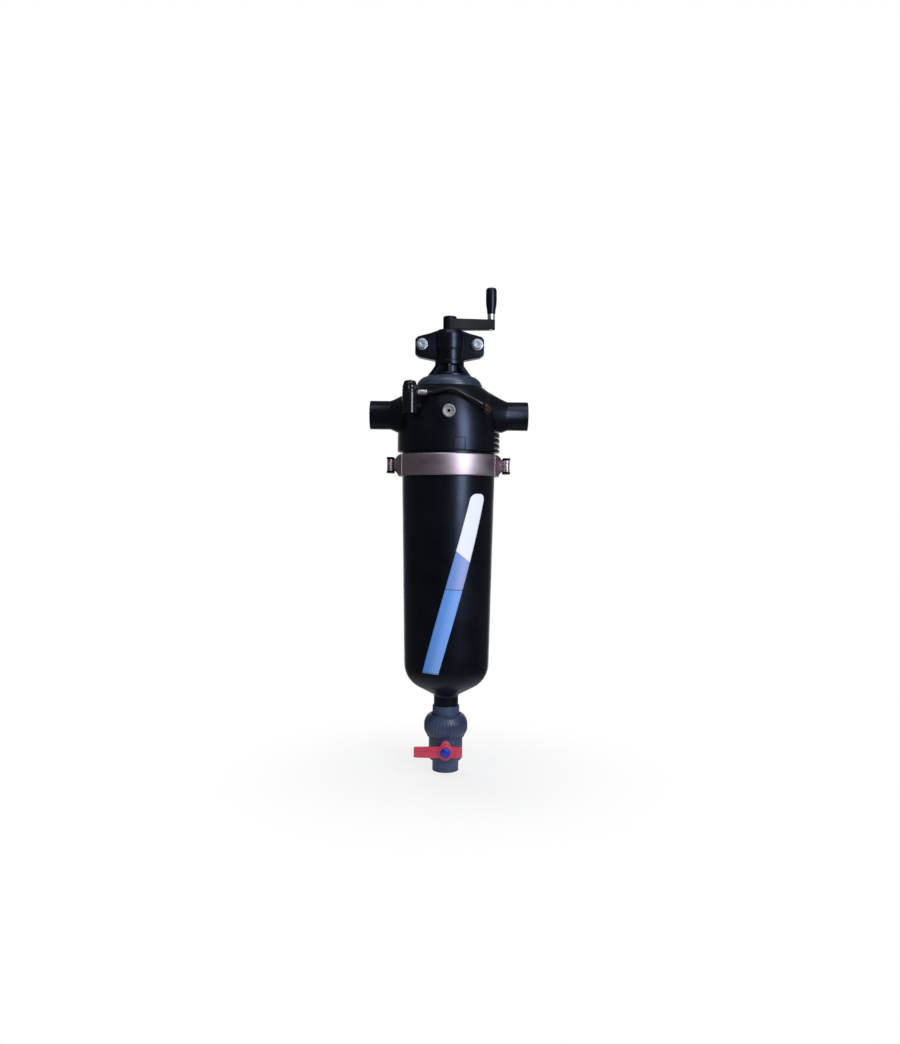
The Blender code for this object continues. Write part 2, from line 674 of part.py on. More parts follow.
def build_selector_cock():
    """Body with its stub into the head, and the knob that turns on top."""
    body = piece("selector_cock_body", rod(COCK_RADIUS, COCK_BOTTOM, COCK_TOP, SMALL,
                                           at(COCK_X, COCK_Y, 0), 0.0015), BLACK_NYLON)
    stub = rod(COCK_STUB_RADIUS, COCK_BOSS_REACH - SIDE_SHANK_DEPTH, COCK_DISTANCE, SMALL,
               radial(COCK_ANGLE, COCK_STUB_Z))
    join(body, tool("cock_stub", stub))
    spool_end = COCK_TOP - COCK_SPOOL_DEPTH
    spool_hole = rod(COCK_SPOOL_RADIUS + FIT, spool_end - FIT, COCK_TOP + 0.01, SMALL,
                     at(COCK_X, COCK_Y, 0))
    inlet_hole = rod(COCK_STUB_RADIUS / 2, COCK_BOSS_REACH - 2 * SIDE_SHANK_DEPTH, COCK_DISTANCE, TINY,
                     radial(COCK_ANGLE, COCK_STUB_Z))
    fitting_hole = rod(FITTING_SHANK_RADIUS + FIT, COCK_X + COCK_SPOOL_RADIUS, COCK_X + 0.03, SMALL,
                       at(0, COCK_Y, TUBE_FITTING_Z, ABOUT_X))
    cut(body, tool("spool_hole", spool_hole), tool("cock_inlet_hole", inlet_hole),
        tool("fitting_hole", fitting_hole))

    knob_bottom = COCK_TOP + FIT
    outline = []
    for index in range(4 * KNOB_FLUTES):
        angle = math.tau * index / (4 * KNOB_FLUTES)
        radius = KNOB_RADIUS - (KNOB_FLUTE_DEPTH if index % 4 == 0 else 0)
        outline.append((radius * math.cos(angle), radius * math.sin(angle)))
    knob = piece("selector_knob", prism(outline, knob_bottom, knob_bottom + KNOB_HEIGHT,
                                        at(COCK_X, COCK_Y, 0)), BLACK_NYLON)
    pointer = prism([(-0.0015, 0), (0.0015, 0), (0.0015, -KNOB_RADIUS), (-0.0015, -KNOB_RADIUS)],
                    knob_bottom + KNOB_HEIGHT - 0.002, knob_bottom + KNOB_HEIGHT + 0.001,
                    at(COCK_X, COCK_Y, 0))
    spool = rod(COCK_SPOOL_RADIUS, spool_end, knob_bottom + 0.001, SMALL, at(COCK_X, COCK_Y, 0))
    join(knob, tool("knob_pointer", pointer), tool("knob_spool", spool))
    return knob


def build_tube_fitting():
    start = COCK_X + COCK_RADIUS + FIT
    end = start + TUBE_FITTING_LENGTH
    inside = COCK_X + COCK_SPOOL_RADIUS + 0.001
    waist = TUBE_FITTING_RADIUS * 0.75
    profile = [(0, inside), (FITTING_SHANK_RADIUS, inside), (FITTING_SHANK_RADIUS, start), (waist, start),
               (waist, start + 0.003), (TUBE_FITTING_RADIUS, start + 0.004),
               (TUBE_FITTING_RADIUS, end - 0.001), (TUBE_FITTING_RADIUS - 0.001, end), (0, end)]
    piece("cock_tube_fitting", turned(profile, SMALL, at(0, COCK_Y, TUBE_FITTING_Z, ABOUT_X)), ZINC)
    return Vector((end, COCK_Y, TUBE_FITTING_Z))


def build_elbow():
    """Brass elbow screwed into the head; returns where its tube end points."""
    centre = radial(ELBOW_ANGLE, ELBOW_Z) @ Vector((0, 0, ELBOW_REACH))
    shank = rod(ELBOW_RADIUS, ELBOW_BOSS_REACH - SIDE_SHANK_DEPTH, ELBOW_REACH + ELBOW_RADIUS * 0.6, SMALL,
                radial(ELBOW_ANGLE, ELBOW_Z))
    elbow = piece("tube_elbow", shank, BRASS)
    sideways = Vector((math.sin(ELBOW_ANGLE), -math.cos(ELBOW_ANGLE), 0))
    direction = (sideways * math.cos(ELBOW_RISE) + Vector((0, 0, math.sin(ELBOW_RISE)))).normalized()
    turn = direction.to_track_quat("Z", "Y").to_matrix().to_4x4()
    arm = rod(ELBOW_ARM_RADIUS, 0, ELBOW_ARM_LENGTH, SMALL, at(*centre, turn), 0.0008)
    nut = prism(hexagon(2 * ELBOW_NUT_RADIUS), ELBOW_BOSS_REACH + FIT, ELBOW_BOSS_REACH + FIT + 0.003,
                radial(ELBOW_ANGLE, ELBOW_Z))
    join(elbow, tool("elbow_arm", arm), tool("elbow_hexagon", nut))
    return centre + direction * ELBOW_ARM_LENGTH, direction


def smooth_line(route, steps):
    """Points along one smooth curve through the points of a route."""
    slopes = []
    for index in range(len(route)):
        before = route[max(index - 1, 0)]
        after = route[min(index + 1, len(route) - 1)]
        slopes.append((after - before).normalized())
    points = []
    for index in range(len(route) - 1):
        here, after = route[index], route[index + 1]
        span = (after - here).length
        for step in range(steps):
            share = step / steps
            points.append(here * (2 * share ** 3 - 3 * share ** 2 + 1)
                          + after * (3 * share ** 2 - 2 * share ** 3)
                          + slopes[index] * span * (share ** 3 - 2 * share ** 2 + share)
                          + slopes[index + 1] * span * (share ** 3 - share ** 2))
    return points + [route[-1]]


def build_control_tube(start, end, end_direction):
    """Tube across the front of the head, on one smooth curve between its two fittings."""
    along = Vector((1, 0, 0))
    route = [start + along * 2 * FIT, start + along * 0.01]
    for angle, inset, height in TUBE_ROUTE:
        out = SKIRT_RADIUS - inset
        route.append(Vector((out * math.cos(angle), out * math.sin(angle), height)))
    route += [end + end_direction * 0.01, end + end_direction * 2 * FIT]
    points = smooth_line(route, 3)
    curve = bpy.data.curves.new("control_tube", "CURVE")
    curve.dimensions = "3D"
    curve.bevel_depth = CONTROL_TUBE_RADIUS
    curve.bevel_resolution = 2
    curve.use_fill_caps = True
    line = curve.splines.new("POLY")
    line.points.add(len(points) - 1)
    for slot, point in zip(line.points, points):
        slot.co = (*point, 1)
    curve.materials.append(material("control_tube", BLACK_POLYAMIDE_TUBE))
    made = bpy.data.objects.new("control_tube", curve)
    bpy.context.collection.objects.link(made)


def build_clamp():
    """Two sheet halves with looped ends, held by bolts through round trunnions."""
    lip = CLAMP_RADIUS - CLAMP_SHEET - CLAMP_LIP
    edge = 0.0012
    section = [(lip, CLAMP_TOP), (CLAMP_RADIUS - edge, CLAMP_TOP), (CLAMP_RADIUS, CLAMP_TOP - edge),
               (CLAMP_RADIUS, CLAMP_BOTTOM + edge), (CLAMP_RADIUS - edge, CLAMP_BOTTOM),
               (lip, CLAMP_BOTTOM), (lip, CLAMP_BOTTOM + CLAMP_SHEET),
               (CLAMP_RADIUS - CLAMP_SHEET, CLAMP_BOTTOM + CLAMP_SHEET),
               (CLAMP_RADIUS - CLAMP_SHEET, CLAMP_TOP - CLAMP_SHEET), (lip, CLAMP_TOP - CLAMP_SHEET)]
    opening = math.asin(TRUNNION_Y / CLAMP_RADIUS)
    middle = (CLAMP_TOP + CLAMP_BOTTOM) / 2
    loop_half = TRUNNION_HEIGHT / 2 - TRUNNION_CAP - FIT
    bore = TRUNNION_RADIUS + FIT
    for name, facing in (("clamp_band_front", -1), ("clamp_band_rear", 1)):
        start = opening if facing > 0 else opening + math.pi
        band = piece(name, part_turned(section, start, math.pi - 2 * opening, LARGE // 2), STAINLESS)
        for side in (-1, 1):
            root = side * (CLAMP_RADIUS - CLAMP_SHEET * 0.7)
            tip = side * (TRUNNION_X - bore - LOOP_WALL / 2)
            half = CLAMP_HEIGHT / 2 - edge
            tip_half = loop_half - 0.0005
            taper_end = side * (TRUNNION_X - TRUNNION_CAP_RADIUS - 0.0008)
            outline = [(root, middle - half), (taper_end, middle - tip_half), (tip, middle - tip_half),
                       (tip, middle + tip_half), (taper_end, middle + tip_half), (root, middle + half)]
            near = facing * TRUNNION_Y
            lug = prism(outline, -CLAMP_SHEET / 2, CLAMP_SHEET / 2, at(0, near, 0, FACING_FRONT))
            loop = tube(bore + LOOP_WALL, bore, middle - loop_half, middle + loop_half, SMALL,
                        at(side * TRUNNION_X, near, 0))
            slot_half = CLAMP_BOLT_RADIUS + 0.0015
            slot = prism([(-slot_half, -slot_half), (slot_half, -slot_half), (slot_half, slot_half),
                          (-slot_half, slot_half)], -0.012, 0.012,
                         at(side * TRUNNION_X, near, middle, FACING_FRONT))
            label = name + ("_left" if side < 0 else "_right")
            join(band, tool(label + "_lug", lug), tool(label + "_loop", loop))
            cut(band, tool(label + "_slot", slot))
    half = TRUNNION_HEIGHT / 2
    neck = half - TRUNNION_CAP
    pin = [(0, -half), (TRUNNION_CAP_RADIUS, -half), (TRUNNION_CAP_RADIUS, -neck),
           (TRUNNION_RADIUS, -neck), (TRUNNION_RADIUS, neck), (TRUNNION_CAP_RADIUS, neck),
           (TRUNNION_CAP_RADIUS, half), (0, half)]
    seat = TRUNNION_Y + TRUNNION_RADIUS + LOOP_WALL + 2 * FIT
    head = seat + CLAMP_BOLT_HEAD_HEIGHT
    bolt = [(0, -head), (CLAMP_BOLT_HEAD, -head), (CLAMP_BOLT_HEAD, -seat), (CLAMP_BOLT_RADIUS, -seat),
            (CLAMP_BOLT_RADIUS, seat), (0, seat)]
    for side, x in (("left", -TRUNNION_X), ("right", TRUNNION_X)):
        bolt_line = at(x, 0, middle, FACING_FRONT)
        hole = tool("trunnion_hole_" + side, rod(CLAMP_BOLT_RADIUS + FIT, -0.04, 0.04, TINY, bolt_line))
        for end, y in (("front", -TRUNNION_Y), ("rear", TRUNNION_Y)):
            trunnion = piece(f"clamp_trunnion_{end}_{side}", turned(pin, SMALL, at(x, y, middle)), ZINC)
            cut(trunnion, hole)
        piece("clamp_bolt_" + side, turned(bolt, TINY, bolt_line), ZINC)


def bowl_side():
    """Outer profile of the bowl below its flange, down to the start of its neck."""
    knuckle_r = BOWL_FOOT_RADIUS - BOWL_KNUCKLE
    points = [(BOWL_TOP_RADIUS, FLANGE_FOOT), (BOWL_TOP_RADIUS, CLAMP_BOTTOM - BOWL_SHOULDER)]
    points += arc(knuckle_r, BOWL_SIDE_END, BOWL_KNUCKLE, 0, -90 + math.degrees(BOWL_CONE_SLOPE), 5)
    return points


def build_bowl():
    side = bowl_side()
    last_r, last_z = side[-1]
    slope = math.tan(BOWL_CONE_SLOPE)
    ledge_z = last_z - (last_r - BOWL_LEDGE_RADIUS) * slope
    neck_z = last_z - (last_r - BOWL_NECK_RADIUS) * slope
    spigot = BOWL_NECK_BORE + BOWL_SPIGOT_WALL
    spigot_end = BOWL_NECK_END - BOWL_SPIGOT_LENGTH
    outer = [(FLANGE_RADIUS, BOWL_TOP), (FLANGE_RADIUS, FLANGE_FOOT)] + side
    outer += [(BOWL_LEDGE_RADIUS, ledge_z), (BOWL_LEDGE_RADIUS - 0.001, ledge_z - BOWL_LEDGE_HEIGHT),
              (BOWL_NECK_RADIUS + 0.003, neck_z - 0.001), (BOWL_NECK_RADIUS, neck_z - 0.005),
              (BOWL_NECK_RADIUS, BOWL_NECK_END), (spigot, BOWL_NECK_END), (spigot, spigot_end)]
    knuckle_r = BOWL_FOOT_RADIUS - BOWL_KNUCKLE
    mouth = BOWL_TOP_RADIUS - BOWL_WALL
    inside = [(mouth, BOWL_TOP), (mouth, CLAMP_BOTTOM - BOWL_SHOULDER)]
    inside += arc(knuckle_r, BOWL_SIDE_END, BOWL_KNUCKLE - BOWL_WALL, 0,
                  -90 + math.degrees(BOWL_CONE_SLOPE), 5)
    inside += [(BUSH_FOOT_RADIUS + 0.001, BUSH_LEDGE), (BOWL_NECK_BORE, BUSH_LEDGE),
               (BOWL_NECK_BORE, spigot_end)]
    piece("bowl", turned(outer + inside[::-1], LARGE), BLACK_NYLON)


def build_drain_bush():
    """Sleeve that guides the foot of the suction tube and carries the filter element."""
    foot = BUSH_LEDGE + FIT
    shelf = CAGE_BOTTOM - ELEMENT_SEAL_HEIGHT - 2 * FIT
    profile = [(BUSH_BORE, BUSH_END), (BUSH_RADIUS, BUSH_END), (BUSH_RADIUS, foot),
               (BUSH_FOOT_RADIUS, foot), (BUSH_FOOT_RADIUS, foot + BUSH_FOOT),
               (BUSH_RADIUS, foot + BUSH_FOOT + 0.003), (BUSH_RADIUS, shelf - BUSH_SHELF - 0.006),
               (BUSH_SHELF_RADIUS, shelf - BUSH_SHELF), (BUSH_SHELF_RADIUS, shelf),
               (BUSH_RADIUS, shelf), (BUSH_RADIUS, BUSH_TOP), (BUSH_BORE, BUSH_TOP)]
    piece("drain_bush", turned(profile, MEDIUM), LIGHT_POLYMER)


def build_filter_element():
    """Slotted cage with a flat floor, the woven mesh inside it and its two flat seals."""
    shape = bmesh.new()
    span = math.tau / CAGE_COLUMNS
    bar = CAGE_BAR / CAGE_RADIUS
    angles = []
    for column in range(CAGE_COLUMNS):
        start = column * span
        angles += [start, start + bar]
        angles.append(start + bar + (span - bar) / 2)
    pitch = (CAGE_TOP - CAGE_BOTTOM - CAGE_RING) / CAGE_ROWS
    heights = []
    for row in range(CAGE_ROWS):
        heights += [CAGE_BOTTOM + pitch * row, CAGE_BOTTOM + pitch * row + CAGE_RING]
    heights += [CAGE_TOP - CAGE_RING, CAGE_TOP]
    rings = []
    for height in heights:
        rings.append([shape.verts.new((CAGE_RADIUS * math.cos(angle), CAGE_RADIUS * math.sin(angle), height))
                      for angle in angles])
    count = len(angles)
    for row in range(len(heights) - 1):
        for column in range(count):
            if row % 2 and column % 3:
                continue
            following = (column + 1) % count
            shape.faces.new((rings[row][column], rings[row][following],
                             rings[row + 1][following], rings[row + 1][column]))
    hole = (BUSH_RADIUS + 2 * FIT) / math.cos((span - bar) / 4)
    inner = [shape.verts.new((hole * math.cos(angle), hole * math.sin(angle), CAGE_BOTTOM))
             for angle in angles]
    for column in range(count):
        following = (column + 1) % count
        shape.faces.new((inner[column], inner[following], rings[0][following], rings[0][column]))
    face_outwards(shape)
    cage = piece("filter_cage", shape, LIGHT_POLYMER)
    wall = cage.modifiers.new("cage_wall", "SOLIDIFY")
    wall.thickness = CAGE_WALL
    wall.offset = -1
    wall.use_even_offset = True

    outer = (CAGE_RADIUS - CAGE_WALL) * math.cos(math.pi / CAGE_COLUMNS / 2) - FIT
    mesh_floor = CAGE_BOTTOM + CAGE_WALL + FIT
    piece("filter_mesh", tube(outer, outer - MESH_THICKNESS, mesh_floor, CAGE_TOP - FIT, MEDIUM), STAINLESS)
    piece("element_upper_seal", tube(CAGE_RADIUS - FIT, PARTITION_RADIUS - PARTITION_WALL, CAGE_TOP + FIT,
                                     PARTITION_END - FIT, LARGE), BLACK_RUBBER)
    piece("element_lower_seal", tube(BUSH_SHELF_RADIUS - 0.001, BUSH_RADIUS + FIT,
                                     CAGE_BOTTOM - FIT - ELEMENT_SEAL_HEIGHT, CAGE_BOTTOM - FIT, MEDIUM),
          BLACK_RUBBER)


def build_tower():
    """Ribbed tower on the head, with the spindle's bush, seal and seal nut inside."""
    bottom = TOWER_BASE - TOWER_SPIGOT_DEPTH
    foot = TOWER_BASE + TOWER_FOOT_HEIGHT
    shoulder = TOWER_BASE + TOWER_SHOULDER_HEIGHT
    flange_low = TOWER_TOP + TOWER_TOP_NECK
    flange_high = flange_low + TOWER_TOP_FLANGE
    seal_low = bottom + SEAL_NUT_HEIGHT + FIT
    bush_low = seal_low + SHAFT_SEAL_HEIGHT + FIT
    bush_high = bush_low + SHAFT_BUSH_LENGTH + FIT
    profile = [(TOWER_BORE - FIT, bottom), (TOWER_BORE - FIT, TOWER_BASE),
               (TOWER_FLANGE_RADIUS, TOWER_BASE), (TOWER_FLANGE_RADIUS, TOWER_BASE + TOWER_FLANGE),
               (TOWER_FOOT_RADIUS, TOWER_BASE + TOWER_FLANGE), (TOWER_FOOT_RADIUS, foot),
               (TOWER_CORE_RADIUS + 0.004, foot), (TOWER_CORE_RADIUS, foot + 0.004),
               (TOWER_CORE_RADIUS, shoulder), (TOWER_RADIUS, shoulder), (TOWER_RADIUS, TOWER_TOP),
               (TOWER_TOP_NECK_RADIUS, TOWER_TOP), (TOWER_TOP_NECK_RADIUS, flange_low),
               (TOWER_TOP_FLANGE_RADIUS, flange_low), (TOWER_TOP_FLANGE_RADIUS, flange_high),
               (SPINDLE_RADIUS + SPINDLE_GAP, flange_high), (SPINDLE_RADIUS + SPINDLE_GAP, bush_high),
               (SHAFT_BUSH_RADIUS + FIT, bush_high), (SHAFT_BUSH_RADIUS + FIT, bush_low - FIT),
               (SHAFT_SEAL_RADIUS + FIT, bush_low - FIT), (SHAFT_SEAL_RADIUS + FIT, seal_low - FIT),
               (SEAL_NUT_RADIUS + FIT, seal_low - FIT), (SEAL_NUT_RADIUS + FIT, bottom)]
    facets = 3 * TOWER_RIBS
    tower = piece("bearing_tower", turned(profile, facets), BLACK_NYLON)
    rib_foot = TOWER_FOOT_RADIUS * math.cos(math.pi / facets) - 0.0005
    rib_top = TOWER_RADIUS * math.cos(math.pi / facets) - 0.0005
    rib = [(-rib_foot, foot - 0.001), (rib_foot, foot - 0.001), (rib_foot, foot), (rib_top, shoulder),
           (rib_top, shoulder + 0.001), (-rib_top, shoulder + 0.001), (-rib_top, shoulder), (-rib_foot, foot)]
    for index in range(TOWER_RIBS // 2):
        turn = Matrix.Rotation(math.tau * index / TOWER_RIBS, 4, "Z") @ FACING_FRONT
        half = TOWER_RIB_THICKNESS / 2
        blade = tool(f"tower_rib_{index + 1}", prism(rib, -half, half, turn))
        core = tool(f"tower_rib_core_{index + 1}",
                    rod(TOWER_CORE_RADIUS - 0.003, TOWER_BASE, TOWER_TOP, SMALL))
        cut(blade, core)
        join(tower, blade)
    groove = tube(TOWER_SEAL_RADIUS + TOWER_SEAL_SECTION + FIT, TOWER_SEAL_RADIUS - TOWER_SEAL_SECTION - FIT,
                  TOWER_BASE - 0.003, TOWER_BASE + 2 * TOWER_SEAL_SECTION, MEDIUM)
    cut(tower, tool("tower_seal_groove", groove))
    seal_ring("tower_seal", TOWER_SEAL_RADIUS, TOWER_SEAL_SECTION - FIT,
              TOWER_BASE + TOWER_SEAL_SECTION - FIT)
    shaft = SPINDLE_RADIUS + SPINDLE_GAP
    piece("seal_nut", tube(SEAL_NUT_RADIUS, shaft, bottom, bottom + SEAL_NUT_HEIGHT, MEDIUM), BRASS)
    piece("spindle_seal", tube(SHAFT_SEAL_RADIUS, shaft, seal_low, seal_low + SHAFT_SEAL_HEIGHT, SMALL),
          BLACK_RUBBER)
    piece("spindle_bush", tube(SHAFT_BUSH_RADIUS, shaft, bush_low, bush_low + SHAFT_BUSH_LENGTH, SMALL),
          WHITE_PTFE)


def build_collar():
    lip_low = TOWER_BASE + TOWER_FLANGE + FIT
    top = lip_low + COLLAR_LIP
    foot = CROWN_HEIGHT + COLLAR_FOOT_CLEARANCE
    rim = foot + COLLAR_RIM
    profile = [(COLLAR_HOLE, lip_low), (COLLAR_HOLE, top), (COLLAR_TOP_RADIUS, top)]
    steps = 4
    for index in range(1, steps + 1):
        share = index / steps
        bulge = math.sin(math.pi / 2 * share)
        profile.append((COLLAR_TOP_RADIUS + (COLLAR_MID_RADIUS - COLLAR_TOP_RADIUS) * bulge,
                        top + (rim + COLLAR_DOME_END - top) * share ** 1.3))
    edge = 0.0006
    neck_hole = HEAD_NECK_RADIUS + FIT
    flange_hole = TOWER_FLANGE_RADIUS + FIT
    profile += [(COLLAR_MID_RADIUS, rim), (COLLAR_RADIUS - edge, rim), (COLLAR_RADIUS, rim - edge),
                (COLLAR_RADIUS, foot), (neck_hole, foot), (neck_hole, TOWER_BASE),
                (flange_hole, TOWER_BASE), (flange_hole, lip_low)]
    piece("collar_ring", turned(profile, LARGE), BLUE_GREY_PVC)


def build_housing():
    """Front and rear halves round the lead nut and the tower's top flange."""
    flange_low = TOWER_TOP + TOWER_TOP_NECK
    flange_high = flange_low + TOWER_TOP_FLANGE
    nut_low = flange_high + 2 * FIT
    nut_high = nut_low + LEAD_NUT_HEIGHT
    barrel_low = HOUSING_TOP - HOUSING_BARREL_LENGTH
    ears = [(HOUSING_TOP_RADIUS - 0.001, HOUSING_TOP - 0.002), (0.041, HOUSING_TOP - 0.0075),
            (EAR_REACH - 0.006, HOUSING_TOP - EAR_TOP_DROP), (EAR_REACH, HOUSING_TOP - EAR_TOP_DROP - 0.006),
            (EAR_REACH, HOUSING_BOTTOM + EAR_BOTTOM_RISE + 0.0065),
            (EAR_REACH - 0.0085, HOUSING_BOTTOM + EAR_BOTTOM_RISE), (HOUSING_RADIUS, HOUSING_BOTTOM)]
    ears += [(-x, z) for x, z in reversed(ears)]
    barrel = [(0, HOUSING_BOTTOM), (HOUSING_FOOT_RADIUS, HOUSING_BOTTOM),
              (HOUSING_FOOT_RADIUS, barrel_low - 0.004), (HOUSING_RADIUS - 0.0015, barrel_low),
              (HOUSING_RADIUS, barrel_low + 0.006), (HOUSING_RADIUS, HOUSING_TOP - 0.009),
              (HOUSING_TOP_RADIUS + 0.0015, HOUSING_TOP - 0.003), (HOUSING_TOP_RADIUS - 0.002, HOUSING_TOP),
              (0, HOUSING_TOP)]
    cavity = [(0, HOUSING_BOTTOM - 0.01), (TOWER_TOP_NECK_RADIUS + FIT, HOUSING_BOTTOM - 0.01),
              (TOWER_TOP_NECK_RADIUS + FIT, flange_low - FIT),
              (TOWER_TOP_FLANGE_RADIUS + FIT, flange_low - FIT),
              (TOWER_TOP_FLANGE_RADIUS + FIT, flange_high + FIT),
              (SPINDLE_RADIUS + SPINDLE_GAP, flange_high + FIT),
              (SPINDLE_RADIUS + SPINDLE_GAP, HOUSING_TOP + 0.01),
              (0, HOUSING_TOP + 0.01)]
    nut_pocket = prism(hexagon(2 * (LEAD_NUT_RADIUS + FIT) * math.cos(math.pi / 6)), flange_high,
                       nut_high + FIT)
    cavity_tool = tool("housing_cavity", turned(cavity, MEDIUM))
    join(cavity_tool, tool("lead_nut_pocket", nut_pocket))
    bolt_holes = combined([rod(BOLT_RADIUS + FIT, -0.05, 0.05, SMALL, at(x, 0, EAR_BOLT_Z, FACING_FRONT))
                           for x in (-EAR_BOLT_X, EAR_BOLT_X)])
    holes = tool("ear_bolt_holes", bolt_holes)
    for name, half_turn in (("housing_front", 0), ("housing_rear", math.pi)):
        turn = Matrix.Rotation(half_turn, 4, "Z")
        half = piece(name, prism(ears, FIT / 2, EAR_THICKNESS, turn @ FACING_FRONT), BLACK_NYLON)
        body = tool(name + "_barrel", turned(barrel, MEDIUM))
        box = [(-0.1, -FIT / 2), (0.1, -FIT / 2), (0.1, 0.1), (-0.1, 0.1)]
        other_side = tool(name + "_split", prism(box, 0, HOUSING_TOP + 0.1, turn))
        cut(body, other_side)
        join(half, body)
        cut(half, cavity_tool, holes)
    lead_nut = piece("lead_nut", prism(hexagon(2 * LEAD_NUT_RADIUS * math.cos(math.pi / 6)), nut_low, nut_high),
                     BRONZE)
    bore = rod(SPINDLE_RADIUS + SPINDLE_GAP, nut_low - 0.01, nut_high + 0.01, SMALL)
    cut(lead_nut, tool("lead_nut_bore", bore))

    build_ear_bolts()


def build_ear_bolts():
    """Bolt, washer and flanged nut through each ear of the housing."""
    face = EAR_THICKNESS + FIT
    head_low = face + WASHER + FIT
    head_high = head_low + BOLT_HEAD
    nut_low = -face - WASHER
    nut_high = nut_low - NUT_HEIGHT
    point = nut_high - 0.003
    corner = BOLT_HEAD_ACROSS * 0.55
    bolt = [(0, point), (BOLT_RADIUS, point), (BOLT_RADIUS, head_low), (corner, head_low),
            (corner, head_high - 0.0015), (corner * 0.85, head_high), (0, head_high)]
    flange = [(BOLT_RADIUS + FIT, nut_high), (corner * 0.92, nut_high), (corner * 0.92, nut_low),
              (WASHER_RADIUS, nut_low), (WASHER_RADIUS, -face), (BOLT_RADIUS + FIT, -face)]
    for side, x in (("left", -EAR_BOLT_X), ("right", EAR_BOLT_X)):
        front = at(x, 0, EAR_BOLT_Z, FACING_FRONT)
        piece("ear_bolt_" + side, turned(bolt, TINY, front), ZINC)
        washer = tube(WASHER_RADIUS, BOLT_RADIUS + FIT, face, face + WASHER, SMALL, front)
        piece("ear_washer_" + side, washer, ZINC)
        piece("ear_nut_" + side, turned(flange, TINY, front), ZINC)


def build_scanner():
    """Spindle, suction tube with its nozzles, and the ring that guides the tube's foot."""
    square = SPINDLE_SQUARE
    plug_radius = TUBE_RADIUS - TUBE_WALL - FIT
    plug_low = TUBE_TOP - TUBE_PLUG
    profile = [(0, plug_low), (plug_radius, plug_low), (plug_radius, TUBE_TOP - 0.001),
               (SPINDLE_RADIUS, TUBE_TOP + 0.003), (SPINDLE_RADIUS, HUB_BOTTOM - FIT), (0, HUB_BOTTOM - FIT)]
    spindle = piece("spindle", turned(profile, SMALL), STAINLESS)
    corners = [(square / 2, square / 2), (-square / 2, square / 2), (-square / 2, -square / 2),
               (square / 2, -square / 2)]
    drive = prism(corners, HUB_BOTTOM - 0.004, HUB_TOP - HUB_WEB_DROP - FIT)
    join(spindle, tool("spindle_square", drive))
    screw_hole = rod(HUB_SCREW_RADIUS + FIT, HUB_BOTTOM, HUB_TOP, TINY)
    pin_line = at(0, 0, TUBE_TOP - TUBE_PLUG / 2, FACING_FRONT @ CROSS_TURN)
    pin_hole = rod(SPINDLE_PIN_RADIUS + FIT, -2 * TUBE_RADIUS, 2 * TUBE_RADIUS, TINY, pin_line)
    pin_tool = tool("spindle_pin_hole", pin_hole)
    cut(spindle, tool("hub_screw_hole", screw_hole), pin_tool)
    reach = TUBE_RADIUS - 0.001
    piece("spindle_pin", rod(SPINDLE_PIN_RADIUS, -reach, reach, TINY, pin_line), STAINLESS)

    ring_low = TUBE_BOTTOM + TUBE_COLLAR
    ring_high = ring_low + GUIDE_RING_HEIGHT
    neck = TUBE_COLLAR_RADIUS - GUIDE_RING_DEPTH
    inner = TUBE_RADIUS - TUBE_WALL
    wall = [(inner, TUBE_BOTTOM), (TUBE_COLLAR_RADIUS, TUBE_BOTTOM), (TUBE_COLLAR_RADIUS, ring_low - FIT),
            (neck, ring_low - FIT), (neck, ring_high + FIT), (TUBE_COLLAR_RADIUS, ring_high + FIT),
            (TUBE_COLLAR_RADIUS, ring_high + TUBE_COLLAR), (TUBE_RADIUS, ring_high + TUBE_COLLAR + 0.002),
            (TUBE_RADIUS, TUBE_TOP), (inner, TUBE_TOP)]
    suction = piece("suction_tube", turned(wall, MEDIUM), STAINLESS)
    holes = []
    nozzles = []
    root = TUBE_RADIUS - TUBE_WALL / 2
    for index in range(NOZZLES):
        height = NOZZLE_LOWEST + STROKE * index
        angle = math.pi * index - math.pi / 2
        holes.append(rod(NOZZLE_BORE / 2, TUBE_RADIUS / 2, NOZZLE_REACH, TINY,
                         radial(angle, height) @ CROSS_TURN))
        profile = [(0, root), (NOZZLE_RADIUS, root), (NOZZLE_RADIUS, NOZZLE_REACH - NOZZLE_MOUTH_LENGTH),
                   (NOZZLE_MOUTH_RADIUS, NOZZLE_REACH), (NOZZLE_MOUTH_RADIUS - 0.0015, NOZZLE_REACH),
                   (0, NOZZLE_REACH - NOZZLE_MOUTH_LENGTH * 0.8)]
        nozzles.append(turned(profile, TINY, radial(angle, height) @ CROSS_TURN))
    join(suction, tool("suction_nozzles", combined(nozzles)))
    cut(suction, tool("nozzle_holes", combined(holes)), pin_tool)
    piece("guide_ring", tube(GUIDE_RING_RADIUS, neck + FIT, ring_low, ring_high, MEDIUM), WHITE_PTFE)


